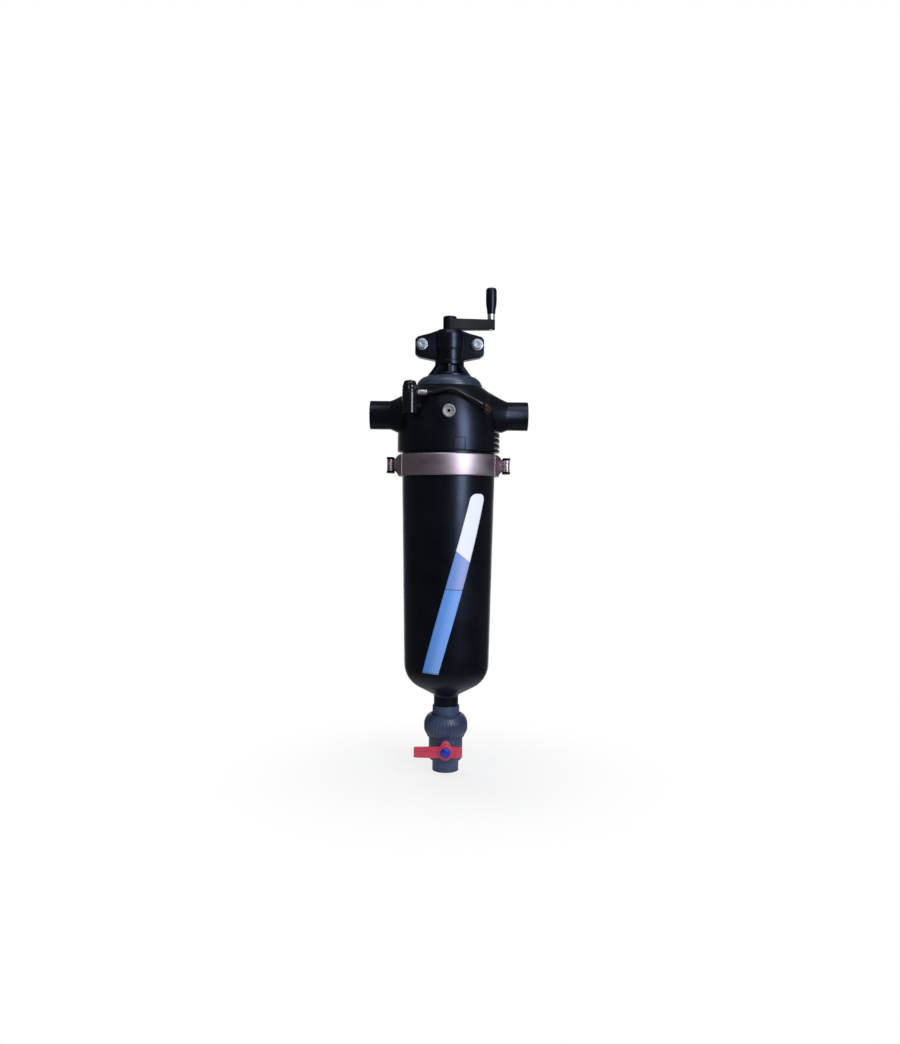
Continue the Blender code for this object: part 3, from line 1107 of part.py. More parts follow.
def build_crank():
    """Arm with its hub on the spindle, the hub screw, and the grip on its own pin."""
    square = SPINDLE_SQUARE + 2 * FIT
    arm = piece("crank_arm", rod(HUB_RADIUS, HUB_BOTTOM, HUB_TOP, MEDIUM, None, 0.0012), BLACK_NYLON)
    low = HUB_BOTTOM + 0.0006
    outline = rounded([(0, -ARM_ROOT_WIDTH / 2), (ARM_REACH, -ARM_END_WIDTH / 2),
                       (ARM_REACH, ARM_END_WIDTH / 2), (0, ARM_ROOT_WIDTH / 2)], ARM_CORNER, 4)
    bar = prism(outline, 0, 1)
    for corner in bar.verts:
        along = corner.co.x / ARM_REACH
        height = ARM_ROOT_HEIGHT + (ARM_END_HEIGHT - ARM_ROOT_HEIGHT) * along
        corner.co.z = low + ARM_RISE * along + height * corner.co.z
    web_high = HUB_TOP - HUB_WEB_DROP + HUB_WEB
    join(arm, tool("arm_bar", bar))
    corners = [(square / 2, square / 2), (-square / 2, square / 2), (-square / 2, -square / 2),
               (square / 2, -square / 2)]
    cut(arm, tool("hub_square", prism(corners, HUB_BOTTOM - 0.01, HUB_TOP - HUB_WEB_DROP)),
        tool("hub_screw_pass", rod(HUB_SCREW_RADIUS + FIT, HUB_BOTTOM, HUB_TOP, TINY)),
        tool("hub_counterbore", rod(HUB_SCREW_HEAD_RADIUS + FIT, web_high, HUB_TOP + 0.01, SMALL)),
        tool("grip_pin_hole", rod(GRIP_PIN_RADIUS + FIT, HUB_BOTTOM - 0.01, HUB_TOP + 0.01, SMALL,
                                  at(GRIP_X, 0, 0))))
    head_low = web_high + FIT
    screw = [(0, HUB_TOP - HUB_WEB_DROP - HUB_SCREW_LENGTH), (HUB_SCREW_RADIUS, HUB_TOP - HUB_WEB_DROP
             - HUB_SCREW_LENGTH), (HUB_SCREW_RADIUS, head_low), (HUB_SCREW_HEAD_RADIUS, head_low),
             (HUB_SCREW_HEAD_RADIUS, head_low + HUB_SCREW_HEAD), (0, head_low + HUB_SCREW_HEAD)]
    hub_screw = piece("hub_screw", turned(screw, TINY), ZINC)
    cut(hub_screw, tool("hub_screw_socket", prism(hexagon(0.005), head_low + HUB_SCREW_HEAD - 0.003,
                                                  head_low + HUB_SCREW_HEAD + 0.01)))

    share = GRIP_X / ARM_REACH
    arm_low = low + ARM_RISE * share
    arm_high = arm_low + ARM_ROOT_HEIGHT + (ARM_END_HEIGHT - ARM_ROOT_HEIGHT) * share
    ferrule_low = arm_high + 0.0008
    grip_low = ferrule_low + FERRULE_LENGTH + FIT
    grip_high = grip_low + GRIP_LENGTH
    cap_low = grip_high - GRIP_CAP_HEIGHT
    pin_top = cap_low - 0.001
    pin = [(0, arm_low), (GRIP_PIN_RADIUS, arm_low), (GRIP_PIN_RADIUS, ferrule_low),
           (FERRULE_RADIUS, ferrule_low), (FERRULE_RADIUS, ferrule_low + FERRULE_LENGTH),
           (GRIP_PIN_RADIUS, ferrule_low + FERRULE_LENGTH), (GRIP_PIN_RADIUS, pin_top - GRIP_PIN_HEAD),
           (GRIP_PIN_HEAD_RADIUS, pin_top - GRIP_PIN_HEAD), (GRIP_PIN_HEAD_RADIUS, pin_top), (0, pin_top)]
    piece("grip_pin", turned(pin, SMALL, at(GRIP_X, 0, 0)), ZINC)
    bore = GRIP_PIN_RADIUS + FIT
    counter = GRIP_PIN_HEAD_RADIUS + FIT
    shell = [(bore, grip_low), (GRIP_FOOT_RADIUS, grip_low), (GRIP_FOOT_RADIUS, grip_low + 0.014),
             (GRIP_RADIUS - 0.0008, grip_low + 0.026), (GRIP_RADIUS, grip_low + 0.036),
             (GRIP_RADIUS, cap_low - FIT), (counter, cap_low - FIT), (counter, pin_top - GRIP_PIN_HEAD - FIT),
             (bore, pin_top - GRIP_PIN_HEAD - FIT)]
    piece("crank_grip", turned(shell, SMALL, at(GRIP_X, 0, 0)), BLACK_NYLON)
    cap = [(0, cap_low), (GRIP_RADIUS, cap_low), (GRIP_RADIUS, cap_low + 0.0035),
           (GRIP_RADIUS - 0.001, cap_low + 0.006), (GRIP_RADIUS - 0.0035, grip_high), (0, grip_high)]
    piece("grip_cap", turned(cap, SMALL, at(GRIP_X, 0, 0)), BLACK_NYLON)


def build_union():
    """Tail on the bowl's neck, nut with its ribs and the seal between tail and valve."""
    spigot = BOWL_NECK_BORE + BOWL_SPIGOT_WALL + FIT
    step = BOWL_NECK_END - BOWL_SPIGOT_LENGTH - FIT
    tail = [(VALVE_BORE, TAIL_BOTTOM), (UNION_FLANGE_RADIUS, TAIL_BOTTOM),
            (UNION_FLANGE_RADIUS, TAIL_BOTTOM + UNION_FLANGE), (UNION_TAIL_RADIUS, TAIL_BOTTOM + UNION_FLANGE),
            (UNION_TAIL_RADIUS, TAIL_TOP - 0.001), (UNION_TAIL_RADIUS - 0.001, TAIL_TOP), (spigot, TAIL_TOP),
            (spigot, step), (VALVE_BORE, step - 0.004)]
    piece("union_tail", turned(tail, MEDIUM), BLUE_GREY_PVC)
    lip_low = TAIL_BOTTOM + UNION_FLANGE + FIT
    shoulder = UNION_NUT_TOP - UNION_NUT_LIP
    nut = [(UNION_TAIL_RADIUS + FIT, lip_low), (UNION_TAIL_RADIUS + FIT, UNION_NUT_TOP),
           (UNION_NUT_TOP_RADIUS, UNION_NUT_TOP), (UNION_NUT_TOP_RADIUS + 0.0055, UNION_NUT_TOP - 0.0055)]
    nut += [(UNION_NUT_RADIUS - 0.002, shoulder - 0.002), (UNION_NUT_RADIUS, shoulder - 0.009),
            (UNION_NUT_RADIUS, UNION_NUT_BOTTOM + 0.015), (UNION_NUT_RADIUS - 0.0035, UNION_NUT_BOTTOM + 0.007),
            (UNION_NUT_RADIUS - 0.0085, UNION_NUT_BOTTOM), (VALVE_RADIUS + FIT, UNION_NUT_BOTTOM),
            (VALVE_THREAD_RADIUS + FIT, UNION_NUT_BOTTOM + 0.0005), (VALVE_THREAD_RADIUS + FIT, lip_low)]
    body = piece("union_nut", turned(nut, LARGE), BLUE_GREY_PVC)
    notches = []
    for index in range(UNION_NUT_RIBS):
        angle = math.tau * index / UNION_NUT_RIBS
        notches.append(rod(0.0026, UNION_NUT_BOTTOM - 0.01, UNION_NUT_TOP + 0.01, 5,
                           Matrix.Rotation(angle, 4, "Z") @ at(UNION_NUT_RADIUS + 0.0012, 0, 0)))
    cut(body, tool("nut_grip_notches", combined(notches)))
    groove_r = UNION_SEAL_RADIUS
    seal_ring("union_seal", groove_r, UNION_SEAL_SECTION - FIT, VALVE_TOP - UNION_SEAL_SECTION + FIT)


def seat_profile(direction):
    """Half section of a ball seat below (-1) or above (+1) the ball."""
    reach = BALL_RADIUS + FIT
    inner_z = math.sqrt(reach ** 2 - VALVE_BORE ** 2)
    outer_z = math.sqrt(reach ** 2 - SEAT_RADIUS ** 2)
    back = inner_z + SEAT_DEPTH
    points = [(VALVE_BORE, back), (SEAT_RADIUS, back), (SEAT_RADIUS, outer_z)]
    start = math.atan2(outer_z, SEAT_RADIUS)
    end = math.atan2(inner_z, VALVE_BORE)
    for index in range(1, 5):
        angle = start + (end - start) * index / 4
        points.append((reach / math.cos((end - start) / 8) * math.cos(angle),
                       reach / math.cos((end - start) / 8) * math.sin(angle)))
    return [(radius, VALVE_Z + direction * height) for radius, height in points]


def build_valve():
    """Ball valve: body, seats, carrier, ball, stem and handle."""
    chamber = BALL_RADIUS + 2 * FIT
    back = math.sqrt((BALL_RADIUS + FIT) ** 2 - VALVE_BORE ** 2) + SEAT_DEPTH + FIT
    seat_low = VALVE_Z - back
    seat_step = BALL_RADIUS * 0.5
    body_low = VALVE_Z - VALVE_BELOW_CENTRE
    outer = [(VALVE_THREAD_RADIUS, VALVE_TOP), (VALVE_THREAD_RADIUS, UNION_NUT_BOTTOM + 0.002),
             (VALVE_RADIUS, UNION_NUT_BOTTOM + 0.002), (VALVE_RADIUS, body_low + 0.004),
             (VALVE_RADIUS - 0.003, body_low), (SOCKET_RADIUS, body_low - 0.001), (SOCKET_RADIUS, SOCKET_END)]
    socket_top = SOCKET_END + SOCKET_DEPTH
    carrier_low = VALVE_Z + BALL_RADIUS * 0.66
    inner = [(SOCKET_BORE + 0.0008, SOCKET_END), (SOCKET_BORE, socket_top), (VALVE_BORE, socket_top),
             (VALVE_BORE, seat_low), (SEAT_RADIUS + FIT, seat_low), (SEAT_RADIUS + FIT, VALVE_Z - seat_step),
             (chamber, VALVE_Z - seat_step), (chamber, carrier_low - FIT),
              (CARRIER_RADIUS + FIT, carrier_low - FIT),
             (CARRIER_RADIUS + FIT, VALVE_TOP)]
    body = piece("valve_body", turned(outer + inner, MEDIUM), BLUE_GREY_PVC)
    boss = rod(STEM_BOSS_RADIUS, CARRIER_RADIUS + 2 * FIT, STEM_BOSS_REACH, MEDIUM,
               at(0, 0, VALVE_Z, FACING_FRONT))
    stem_hole = rod(STEM_RADIUS + FIT, BALL_RADIUS / 2, STEM_BOSS_REACH + 0.01, MEDIUM,
                    at(0, 0, VALVE_Z, FACING_FRONT))
    shoulder_bore = rod(STEM_SHOULDER_RADIUS + FIT, BALL_RADIUS / 2, STEM_SHOULDER_END + FIT, MEDIUM,
                        at(0, 0, VALVE_Z, FACING_FRONT))
    join(body, tool("stem_boss", boss))
    cut(body, tool("stem_hole", stem_hole), tool("stem_shoulder_bore", shoulder_bore))

    carrier = piece("seat_carrier", turned([(SEAT_RADIUS + FIT, carrier_low), (CARRIER_RADIUS, carrier_low),
                                            (CARRIER_RADIUS, VALVE_TOP), (VALVE_BORE, VALVE_TOP),
                                            (VALVE_BORE, VALVE_Z + back), (SEAT_RADIUS + FIT, VALVE_Z + back)],
                                           MEDIUM), BLUE_GREY_PVC)
    groove = tube(UNION_SEAL_RADIUS + UNION_SEAL_SECTION, UNION_SEAL_RADIUS - UNION_SEAL_SECTION,
                  VALVE_TOP - 2 * UNION_SEAL_SECTION, VALVE_TOP + 0.005, MEDIUM)
    cut(carrier, tool("union_seal_groove", groove))
    piece("ball_seat_upper", turned(seat_profile(1), MEDIUM), WHITE_PTFE)
    piece("ball_seat_lower", turned(seat_profile(-1), MEDIUM), WHITE_PTFE)

    front = at(0, 0, VALVE_Z, FACING_FRONT)
    ball = piece("valve_ball", turned(arc(0, 0, BALL_RADIUS, -90, 90, 8), MEDIUM, front), BLUE_GREY_PVC)
    bore = rod(VALVE_BORE, -BALL_RADIUS - 0.01, BALL_RADIUS + 0.01, MEDIUM, at(0, 0, VALVE_Z, ABOUT_X))
    slot_low = BALL_RADIUS - STEM_SLOT_DEPTH
    slot = prism([(-STEM_SLOT / 2, -0.012), (STEM_SLOT / 2, -0.012), (STEM_SLOT / 2, 0.012),
                  (-STEM_SLOT / 2, 0.012)], slot_low, BALL_RADIUS + 0.005, front @ SLOT_TURN)
    cut(ball, tool("ball_bore", bore), tool("ball_slot", slot))

    shoulder_low = chamber + 2 * FIT
    groove_low = STEM_SHOULDER_END + 0.006
    groove_depth = STEM_RADIUS - 0.002
    stem = [(0, shoulder_low), (STEM_SHOULDER_RADIUS, shoulder_low), (STEM_SHOULDER_RADIUS, STEM_SHOULDER_END),
            (STEM_RADIUS, STEM_SHOULDER_END), (STEM_RADIUS, groove_low), (groove_depth, groove_low),
            (groove_depth, groove_low + STEM_GROOVE), (STEM_RADIUS, groove_low + STEM_GROOVE),
            (STEM_RADIUS, STEM_BOSS_REACH), (0, STEM_BOSS_REACH)]
    handle_low = STEM_BOSS_REACH + HANDLE_GAP
    handle_high = handle_low + HANDLE_THICKNESS
    stem_piece = piece("valve_stem", turned(stem, MEDIUM, front), BLUE_GREY_PVC)
    half = STEM_SLOT / 2 - FIT
    tongue = prism([(-half, -0.008), (half, -0.008), (half, 0.008), (-half, 0.008)],
                   slot_low + FIT, shoulder_low + 0.001, front @ SLOT_TURN)
    drive_half = STEM_SQUARE / 2
    drive = prism([(-drive_half, -drive_half), (drive_half, -drive_half), (drive_half, drive_half),
                   (-drive_half, drive_half)], STEM_BOSS_REACH - 0.002, handle_high - 0.001, front)
    join(stem_piece, tool("stem_tongue", tongue), tool("stem_square", drive))
    cut(stem_piece, tool("cap_screw_hole", rod(CAP_SCREW_RADIUS + FIT, handle_high - 0.012, handle_high + 0.01,
                                               TINY, front)))
    piece("stem_seal", tube(STEM_RADIUS, groove_depth + FIT, groove_low + FIT, groove_low + STEM_GROOVE - FIT,
                            SMALL, front), BLACK_RUBBER)

    bar = rounded([(-HANDLE_LONG_END, -HANDLE_TIP_HEIGHT / 2), (0, -HANDLE_HEIGHT / 2),
                   (HANDLE_SHORT_END, -HANDLE_TIP_HEIGHT / 2), (HANDLE_SHORT_END, HANDLE_TIP_HEIGHT / 2),
                   (0, HANDLE_HEIGHT / 2), (-HANDLE_LONG_END, HANDLE_TIP_HEIGHT / 2)], 0.002, 2)
    blade_low = handle_low + 0.002
    handle = piece("valve_handle", prism(bar, blade_low, handle_high - 0.002, front), RED_PLASTIC)
    hub = rod(HANDLE_HUB_RADIUS, handle_low, handle_high, 24, front, 0.001)
    tab = prism([(-HANDLE_HUB_RADIUS * 0.93, 0.006), (HANDLE_HUB_RADIUS * 0.93, 0.006),
                 (0.004, HANDLE_TAB_HEIGHT), (-0.004, HANDLE_TAB_HEIGHT)], blade_low, handle_high - 0.004, front)
    hub_hole = STEM_SQUARE / 2 + FIT
    hole = prism([(-hub_hole, -hub_hole), (hub_hole, -hub_hole), (hub_hole, hub_hole), (-hub_hole, hub_hole)],
                 handle_low - 0.01, handle_high + 0.01, front)
    join(handle, tool("handle_hub", hub), tool("handle_tab", tab))
    cut(handle, tool("handle_square_hole", hole))
    cap_low = handle_high + FIT
    cap = [(0, handle_high - 0.01), (CAP_SCREW_RADIUS, handle_high - 0.01), (CAP_SCREW_RADIUS, cap_low),
           (CAP_RADIUS, cap_low), (CAP_RADIUS, cap_low + CAP_HEIGHT * 0.5),
           (CAP_RADIUS * 0.8, cap_low + CAP_HEIGHT * 0.9), (CAP_RADIUS * 0.5, cap_low + CAP_HEIGHT),
           (0, cap_low + CAP_HEIGHT)]
    piece("handle_cap_screw", turned(cap, SMALL, front), BLUE_PLASTIC)


def joint_empty(name, place, names):
    """Hangs the pieces of one moving group on an empty that stands on the joint's axis."""
    empty = bpy.data.objects.new(name, None)
    empty.location = place
    bpy.context.collection.objects.link(empty)
    for child in names:
        moving = bpy.data.objects[child]
        moving.parent = empty
        moving.matrix_parent_inverse = Matrix.Translation(-Vector(place))
    return empty


def build():
    clear_scene()
    build_head()
    build_front_plug()
    build_selector_cock()
    start = build_tube_fitting()
    end, direction = build_elbow()
    build_control_tube(start, end, direction)
    build_clamp()
    seal_ring("joint_seal", JOINT_SEAL_RADIUS, SEAL_SECTION - FIT, HEAD_BOTTOM + SEAL_SECTION, LARGE)
    build_bowl()
    build_drain_bush()
    build_filter_element()
    build_tower()
    build_collar()
    build_housing()
    build_scanner()
    build_crank()
    build_union()
    build_valve()
    lift = joint_empty("scanner_axis", (0, 0, 0), SCANNER)
    grip = joint_empty("grip_axis", (GRIP_X, 0, HUB_TOP), ("crank_grip", "grip_cap"))
    grip.parent = lift
    joint_empty("cock_axis", (COCK_X, COCK_Y, COCK_TOP), ("selector_knob",))
    joint_empty("valve_axis", (0, 0, VALVE_Z), DRAIN_VALVE)


build()
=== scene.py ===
"""The screen filter as it is seen in the photograph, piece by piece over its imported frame.

Units are metres. +Z is up, +X points to the outlet port, -Y to the front.
"""
import math

import bmesh
import bpy
from mathutils import Matrix, Vector


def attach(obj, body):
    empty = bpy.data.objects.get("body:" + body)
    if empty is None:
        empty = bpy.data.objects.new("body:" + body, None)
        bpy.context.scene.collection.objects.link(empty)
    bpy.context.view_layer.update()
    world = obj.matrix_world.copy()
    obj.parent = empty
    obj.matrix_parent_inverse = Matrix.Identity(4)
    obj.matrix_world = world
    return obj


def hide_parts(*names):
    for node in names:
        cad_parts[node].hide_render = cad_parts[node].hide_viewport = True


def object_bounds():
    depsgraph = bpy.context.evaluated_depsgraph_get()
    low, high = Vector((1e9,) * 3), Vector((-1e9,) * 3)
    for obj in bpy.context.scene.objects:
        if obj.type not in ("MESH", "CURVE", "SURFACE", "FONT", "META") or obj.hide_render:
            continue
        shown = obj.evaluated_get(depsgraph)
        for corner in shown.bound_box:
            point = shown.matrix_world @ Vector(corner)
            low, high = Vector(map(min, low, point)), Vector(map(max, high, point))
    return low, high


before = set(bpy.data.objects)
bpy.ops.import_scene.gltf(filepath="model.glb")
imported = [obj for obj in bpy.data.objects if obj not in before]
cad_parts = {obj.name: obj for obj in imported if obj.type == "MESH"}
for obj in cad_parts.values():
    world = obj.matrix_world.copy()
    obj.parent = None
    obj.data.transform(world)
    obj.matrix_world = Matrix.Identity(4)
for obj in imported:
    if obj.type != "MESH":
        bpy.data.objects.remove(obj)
cad_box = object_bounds()

# ---------------------------------------------------------------- Viewpoint
# The photograph is taken level from the front, from about 1.9 m, with the
# camera a little below the middle of the filter and turned by half a degree.
camera_data = bpy.data.cameras.new("camera")
camera_data.sensor_fit = "VERTICAL"
camera_data.sensor_height = 36.0
camera_data.lens = 36.0 * 900 / 1044
camera_data.shift_y = -14 / 1044
camera = bpy.data.objects.new("camera", camera_data)
camera.location = (0.0042, -1.88, -0.1923)
camera.rotation_euler = (math.radians(90), math.radians(-0.6), 0)
bpy.context.collection.objects.link(camera)
bpy.context.scene.camera = camera
bpy.context.scene.view_settings.view_transform = "Standard"


def linear(code):
    """A colour such as "3b4657" as linear red, green, blue and alpha."""
    parts = [int(code[start:start + 2], 16) / 255 for start in (0, 2, 4)]
    return tuple(part / 12.92 if part <= 0.04045 else ((part + 0.055) / 1.055) ** 2.4 for part in parts) + (1.0,)


def add(tree, kind, inputs=None, **settings):
    """Adds a node: inputs joins its sockets to other sockets or sets their values."""
    made = tree.nodes.new(kind)
    for name, value in settings.items():
        setattr(made, name, value)
    for name, value in (inputs or {}).items():
        if isinstance(value, bpy.types.NodeSocket):
            tree.links.new(value, made.inputs[name])
        else:
            made.inputs[name].default_value = value
    return made


# One tall soft box to the right of the camera draws the bright line down the
# black pieces. One above and one behind light the tops and the back.
for name, place, aim, size, power, tint in (
        ("tall_softbox", (1.12, -1.66, 0.55), (0, 0, 0.55), (0.66, 1.7), 36, "eaf0ff"),
        ("top_softbox", (0.1, -0.7, 1.45), (0, 0, 0.0), (1.2, 0.8), 8, "ffffff"),
        ("back_softbox", (-0.6, 1.4, 1.3), (0, 0, 0.0), (1.0, 1.0), 16, "ffffff")):
    lamp = bpy.data.lights.new(name, "AREA")
    lamp.shape = "RECTANGLE"
    lamp.size, lamp.size_y = size
    lamp.energy = power
    lamp.color = linear(tint)[:3]
    holder = bpy.data.objects.new(name, lamp)
    holder.location = place
    holder.rotation_euler = (Vector(aim) - Vector(place)).to_track_quat("-Z", "Y").to_euler()
    holder.visible_glossy = name != "back_softbox"
    bpy.context.collection.objects.link(holder)

# The room is dim, apart from the white sheet that hangs behind the filter: the
# camera sees white everywhere, and a reflection sees white only towards the sheet.
world = bpy.data.worlds.new("studio")
bpy.context.scene.world = world
world.use_nodes = True
tree = world.node_tree
tree.nodes.clear()
seen = add(tree, "ShaderNodeLightPath")
sky = add(tree, "ShaderNodeTexCoord")
behind = add(tree, "ShaderNodeVectorMath", {0: sky.outputs["Generated"], 1: (0, 1, 0)}, operation="DOT_PRODUCT")
sheet = add(tree, "ShaderNodeMapRange", {"Value": behind.outputs["Value"], "From Min": math.cos(math.radians(32)),
                                         "From Max": math.cos(math.radians(20))}, interpolation_type="SMOOTHSTEP")
glossed = add(tree, "ShaderNodeMath", {0: seen.outputs["Is Glossy Ray"], 1: sheet.outputs[0]}, operation="MULTIPLY")
shows = add(tree, "ShaderNodeMath", {0: seen.outputs["Is Camera Ray"], 1: seen.outputs["Is Transmission Ray"]},
            operation="MAXIMUM")
shows = add(tree, "ShaderNodeMath", {0: shows.outputs[0], 1: glossed.outputs[0]}, operation="MAXIMUM")
white = add(tree, "ShaderNodeBackground", {"Color": (1, 1, 1, 1), "Strength": 1.0})
dimmed = add(tree, "ShaderNodeMapRange", {"Value": seen.outputs["Is Glossy Ray"], "To Min": 0.42, "To Max": 0.10})
soft = add(tree, "ShaderNodeBackground", {"Color": linear("e6ebf4"), "Strength": dimmed.outputs[0]})
mixed = add(tree, "ShaderNodeMixShader", {0: shows.outputs[0], 1: soft.outputs[0], 2: white.outputs[0]})
add(tree, "ShaderNodeOutputWorld", {"Surface": mixed.outputs[0]})

# Plain pale floor just under the drain socket. It fades out so that it has no
# edge, and the camera sees it nearly as white as the sheet, with a soft shadow.
floor_height = cad_box[0][2] - 0.002
shape = bmesh.new()
bmesh.ops.create_circle(shape, cap_ends=True, segments=96, radius=1.3, matrix=Matrix.Translation((0, 0, floor_height)))
floor_mesh = bpy.data.meshes.new("floor")
shape.to_mesh(floor_mesh)
floor = bpy.data.objects.new("floor", floor_mesh)
bpy.context.collection.objects.link(floor)
paint = bpy.data.materials.new("pale_floor_paint")
paint.use_nodes = True
tree = paint.node_tree
shader = tree.nodes["Principled BSDF"]
shader.inputs["Base Color"].default_value = linear("dcdcdc")
shader.inputs["Roughness"].default_value = 0.9
shader.inputs["Specular IOR Level"].default_value = 0.0
place = add(tree, "ShaderNodeTexCoord")
spread = add(tree, "ShaderNodeVectorMath", {0: place.outputs["Object"], 1: (1, 1, 0)}, operation="MULTIPLY")
length = add(tree, "ShaderNodeVectorMath", {0: spread.outputs[0]}, operation="LENGTH")
fade = add(tree, "ShaderNodeMapRange", {"Value": length.outputs["Value"], "From Min": 0.05, "From Max": 0.5},
           interpolation_type="SMOOTHSTEP")
clear = add(tree, "ShaderNodeBsdfTransparent")
seen = add(tree, "ShaderNodeLightPath")
pale = add(tree, "ShaderNodeEmission", {"Color": (1, 1, 1, 1), "Strength": 1.0})
share = add(tree, "ShaderNodeMath", {0: seen.outputs["Is Camera Ray"], 1: 0.78}, operation="MULTIPLY")
whitened = add(tree, "ShaderNodeMixShader", {0: share.outputs[0], 1: shader.outputs[0], 2: pale.outputs[0]})
ground = add(tree, "ShaderNodeMixShader", {0: fade.outputs[0], 1: whitened.outputs[0], 2: clear.outputs[0]})
tree.links.new(ground.outputs[0], tree.nodes["Material Output"].inputs["Surface"])
floor_mesh.materials.append(paint)

# ---------------------------------------------------------------- Head
# Head with both ports, moulded in one piece in black glass-filled nylon.
# Its sides are ribbed where the clamp's ears pass, and its front carries a
# round boss for the pressure point and a blank raised pad.


def eased(corners, steps=5):
    """An outline with each corner (x, y, radius) rounded; one that starts off the axis is closed."""
    closed = corners[0][0] > 0
    last = len(corners) - 1
    outline = []
    for index, (x, y, radius) in enumerate(corners):
        here = Vector((x, y))
        if radius == 0 or (index in (0, last) and not closed):
            outline.append(here)
            continue
        before = Vector(corners[index - 1][:2]) - here
        after = Vector(corners[(index + 1) % len(corners)][:2]) - here
        reach = radius / math.tan(before.angle(after) / 2)
        reach = min(reach, before.length * 0.49, after.length * 0.49)
        for step in range(steps + 1):
            share = step / steps
            outline.append(here + before.normalized() * reach * (1 - share) ** 2
                           + after.normalized() * reach * share ** 2)
    return outline


def as_piece(name, shape, place=Matrix(), soften=math.radians(32)):
    """An object from a bmesh, with its faces outwards and its flat and round faces told apart."""
    bmesh.ops.transform(shape, matrix=place, verts=shape.verts)
    bmesh.ops.recalc_face_normals(shape, faces=shape.faces)
    if shape.calc_volume(signed=True) < 0:
        bmesh.ops.reverse_faces(shape, faces=shape.faces)
    mesh = bpy.data.meshes.new(name)
    shape.to_mesh(mesh)
    shape.free()
    mesh.shade_smooth()
    mesh.set_sharp_from_angle(angle=soften)
    piece = bpy.data.objects.new(name, mesh)
    bpy.context.collection.objects.link(piece)
    return piece


def lathe(name, corners, around=96, place=Matrix(), start=0.0, sweep=math.tau):
    """A turned solid, or a swept part of one, from its half outline of (radius, height, edge radius)."""
    outline = eased(corners)
    ring = corners[0][0] > 0
    whole = sweep > math.tau - 0.001
    shape = bmesh.new()
    angles = [start + sweep * index / around for index in range(around if whole else around + 1)]
    loops = []
    for radius, height in outline:
        if radius < 1e-6:
            loops.append([shape.verts.new((0, 0, height))])
        else:
            loops.append([shape.verts.new((radius * math.cos(angle), radius * math.sin(angle), height))
                          for angle in angles])
    pairs = list(zip(loops, loops[1:]))
    if ring:
        pairs.append((loops[-1], loops[0]))
    for low, high in pairs:
        for index in range(around):
            following = (index + 1) % len(angles)
            side = [low[0]] if len(low) == 1 else [low[index], low[following]]
            side += [high[0]] if len(high) == 1 else [high[following], high[index]]
            if len(side) > 2:
                shape.faces.new(side)
    if not whole:
        shape.faces.new([loop[0] for loop in loops])
        shape.faces.new([loop[-1] for loop in reversed(loops)])
    return as_piece(name, shape, place)


def plate(name, outline, low, high, place=Matrix(), edge=0.0):
    """A flat piece of an outline in X and Y, from low to high, with its rims rounded."""
    shape = bmesh.new()
    bottom = shape.faces.new([shape.verts.new((x, y, low)) for x, y in outline])
    raised = bmesh.ops.extrude_face_region(shape, geom=[bottom])["geom"]
    bmesh.ops.translate(shape, vec=(0, 0, high - low), verts=[v for v in raised if isinstance(v, bmesh.types.BMVert)])
    if edge:
        rims = [e for e in shape.edges if abs(e.verts[0].co.z - e.verts[1].co.z) < 1e-7]
        bmesh.ops.bevel(shape, geom=rims, offset=edge, segments=3, profile=0.5, affect="EDGES")
    return as_piece(name, shape, place)


def plain(piece):
    """Turns a piece and its modifiers into one plain mesh."""
    seen_now = piece.evaluated_get(bpy.context.evaluated_depsgraph_get())
    mesh = bpy.data.meshes.new_from_object(seen_now)
    piece.modifiers.clear()
    piece.data = mesh
    mesh.name = piece.name


def carve(piece, *others, operation="DIFFERENCE"):
    """Cuts a piece by the others, or joins it with them, and removes them."""
    for other in others:
        step = piece.modifiers.new(other.name, "BOOLEAN")
        step.operation = operation
        step.solver = "EXACT"
        step.object = other
        plain(piece)
        bpy.data.objects.remove(other)
    piece.data.shade_smooth()
    piece.data.set_sharp_from_angle(angle=math.radians(32))


def hexagon(across, start=0.0):
    """The corners of a hexagon of that width across its flats."""
    return [(across / math.sqrt(3) * math.cos(start + math.pi / 3 * index),
             across / math.sqrt(3) * math.sin(start + math.pi / 3 * index)) for index in range(6)]


def fit(piece, finish, body, slot, *nodes):
    """Gives a piece its finish, its moving body and its CAD nodes' places."""
    if finish:
        piece.data.materials.clear()
        piece.data.materials.append(finish)
    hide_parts(*nodes)
    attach(piece, body)


def start_finish(name, **values):
    """A new material: its node tree, its Principled shader and its place on the piece."""
    made = bpy.data.materials.new(name)
    made.use_nodes = True
    tree = made.node_tree
    shader = tree.nodes["Principled BSDF"]
    for socket, value in values.items():
        shader.inputs[socket.replace("_", " ").title().replace("Ior", "IOR")].default_value = value
    place = add(tree, "ShaderNodeTexCoord")
    return made, tree, shader, place.outputs["Object"]


def two_tones(tree, share, low, high):
    """A colour between two, by a share from 0 to 1."""
    ramp = add(tree, "ShaderNodeValToRGB", {"Fac": share})
    ramp.color_ramp.elements[0].color = linear(low)
    ramp.color_ramp.elements[1].color = linear(high)
    ramp.color_ramp.elements[0].position = 0.3
    ramp.color_ramp.elements[1].position = 0.7
    return ramp.outputs["Color"]


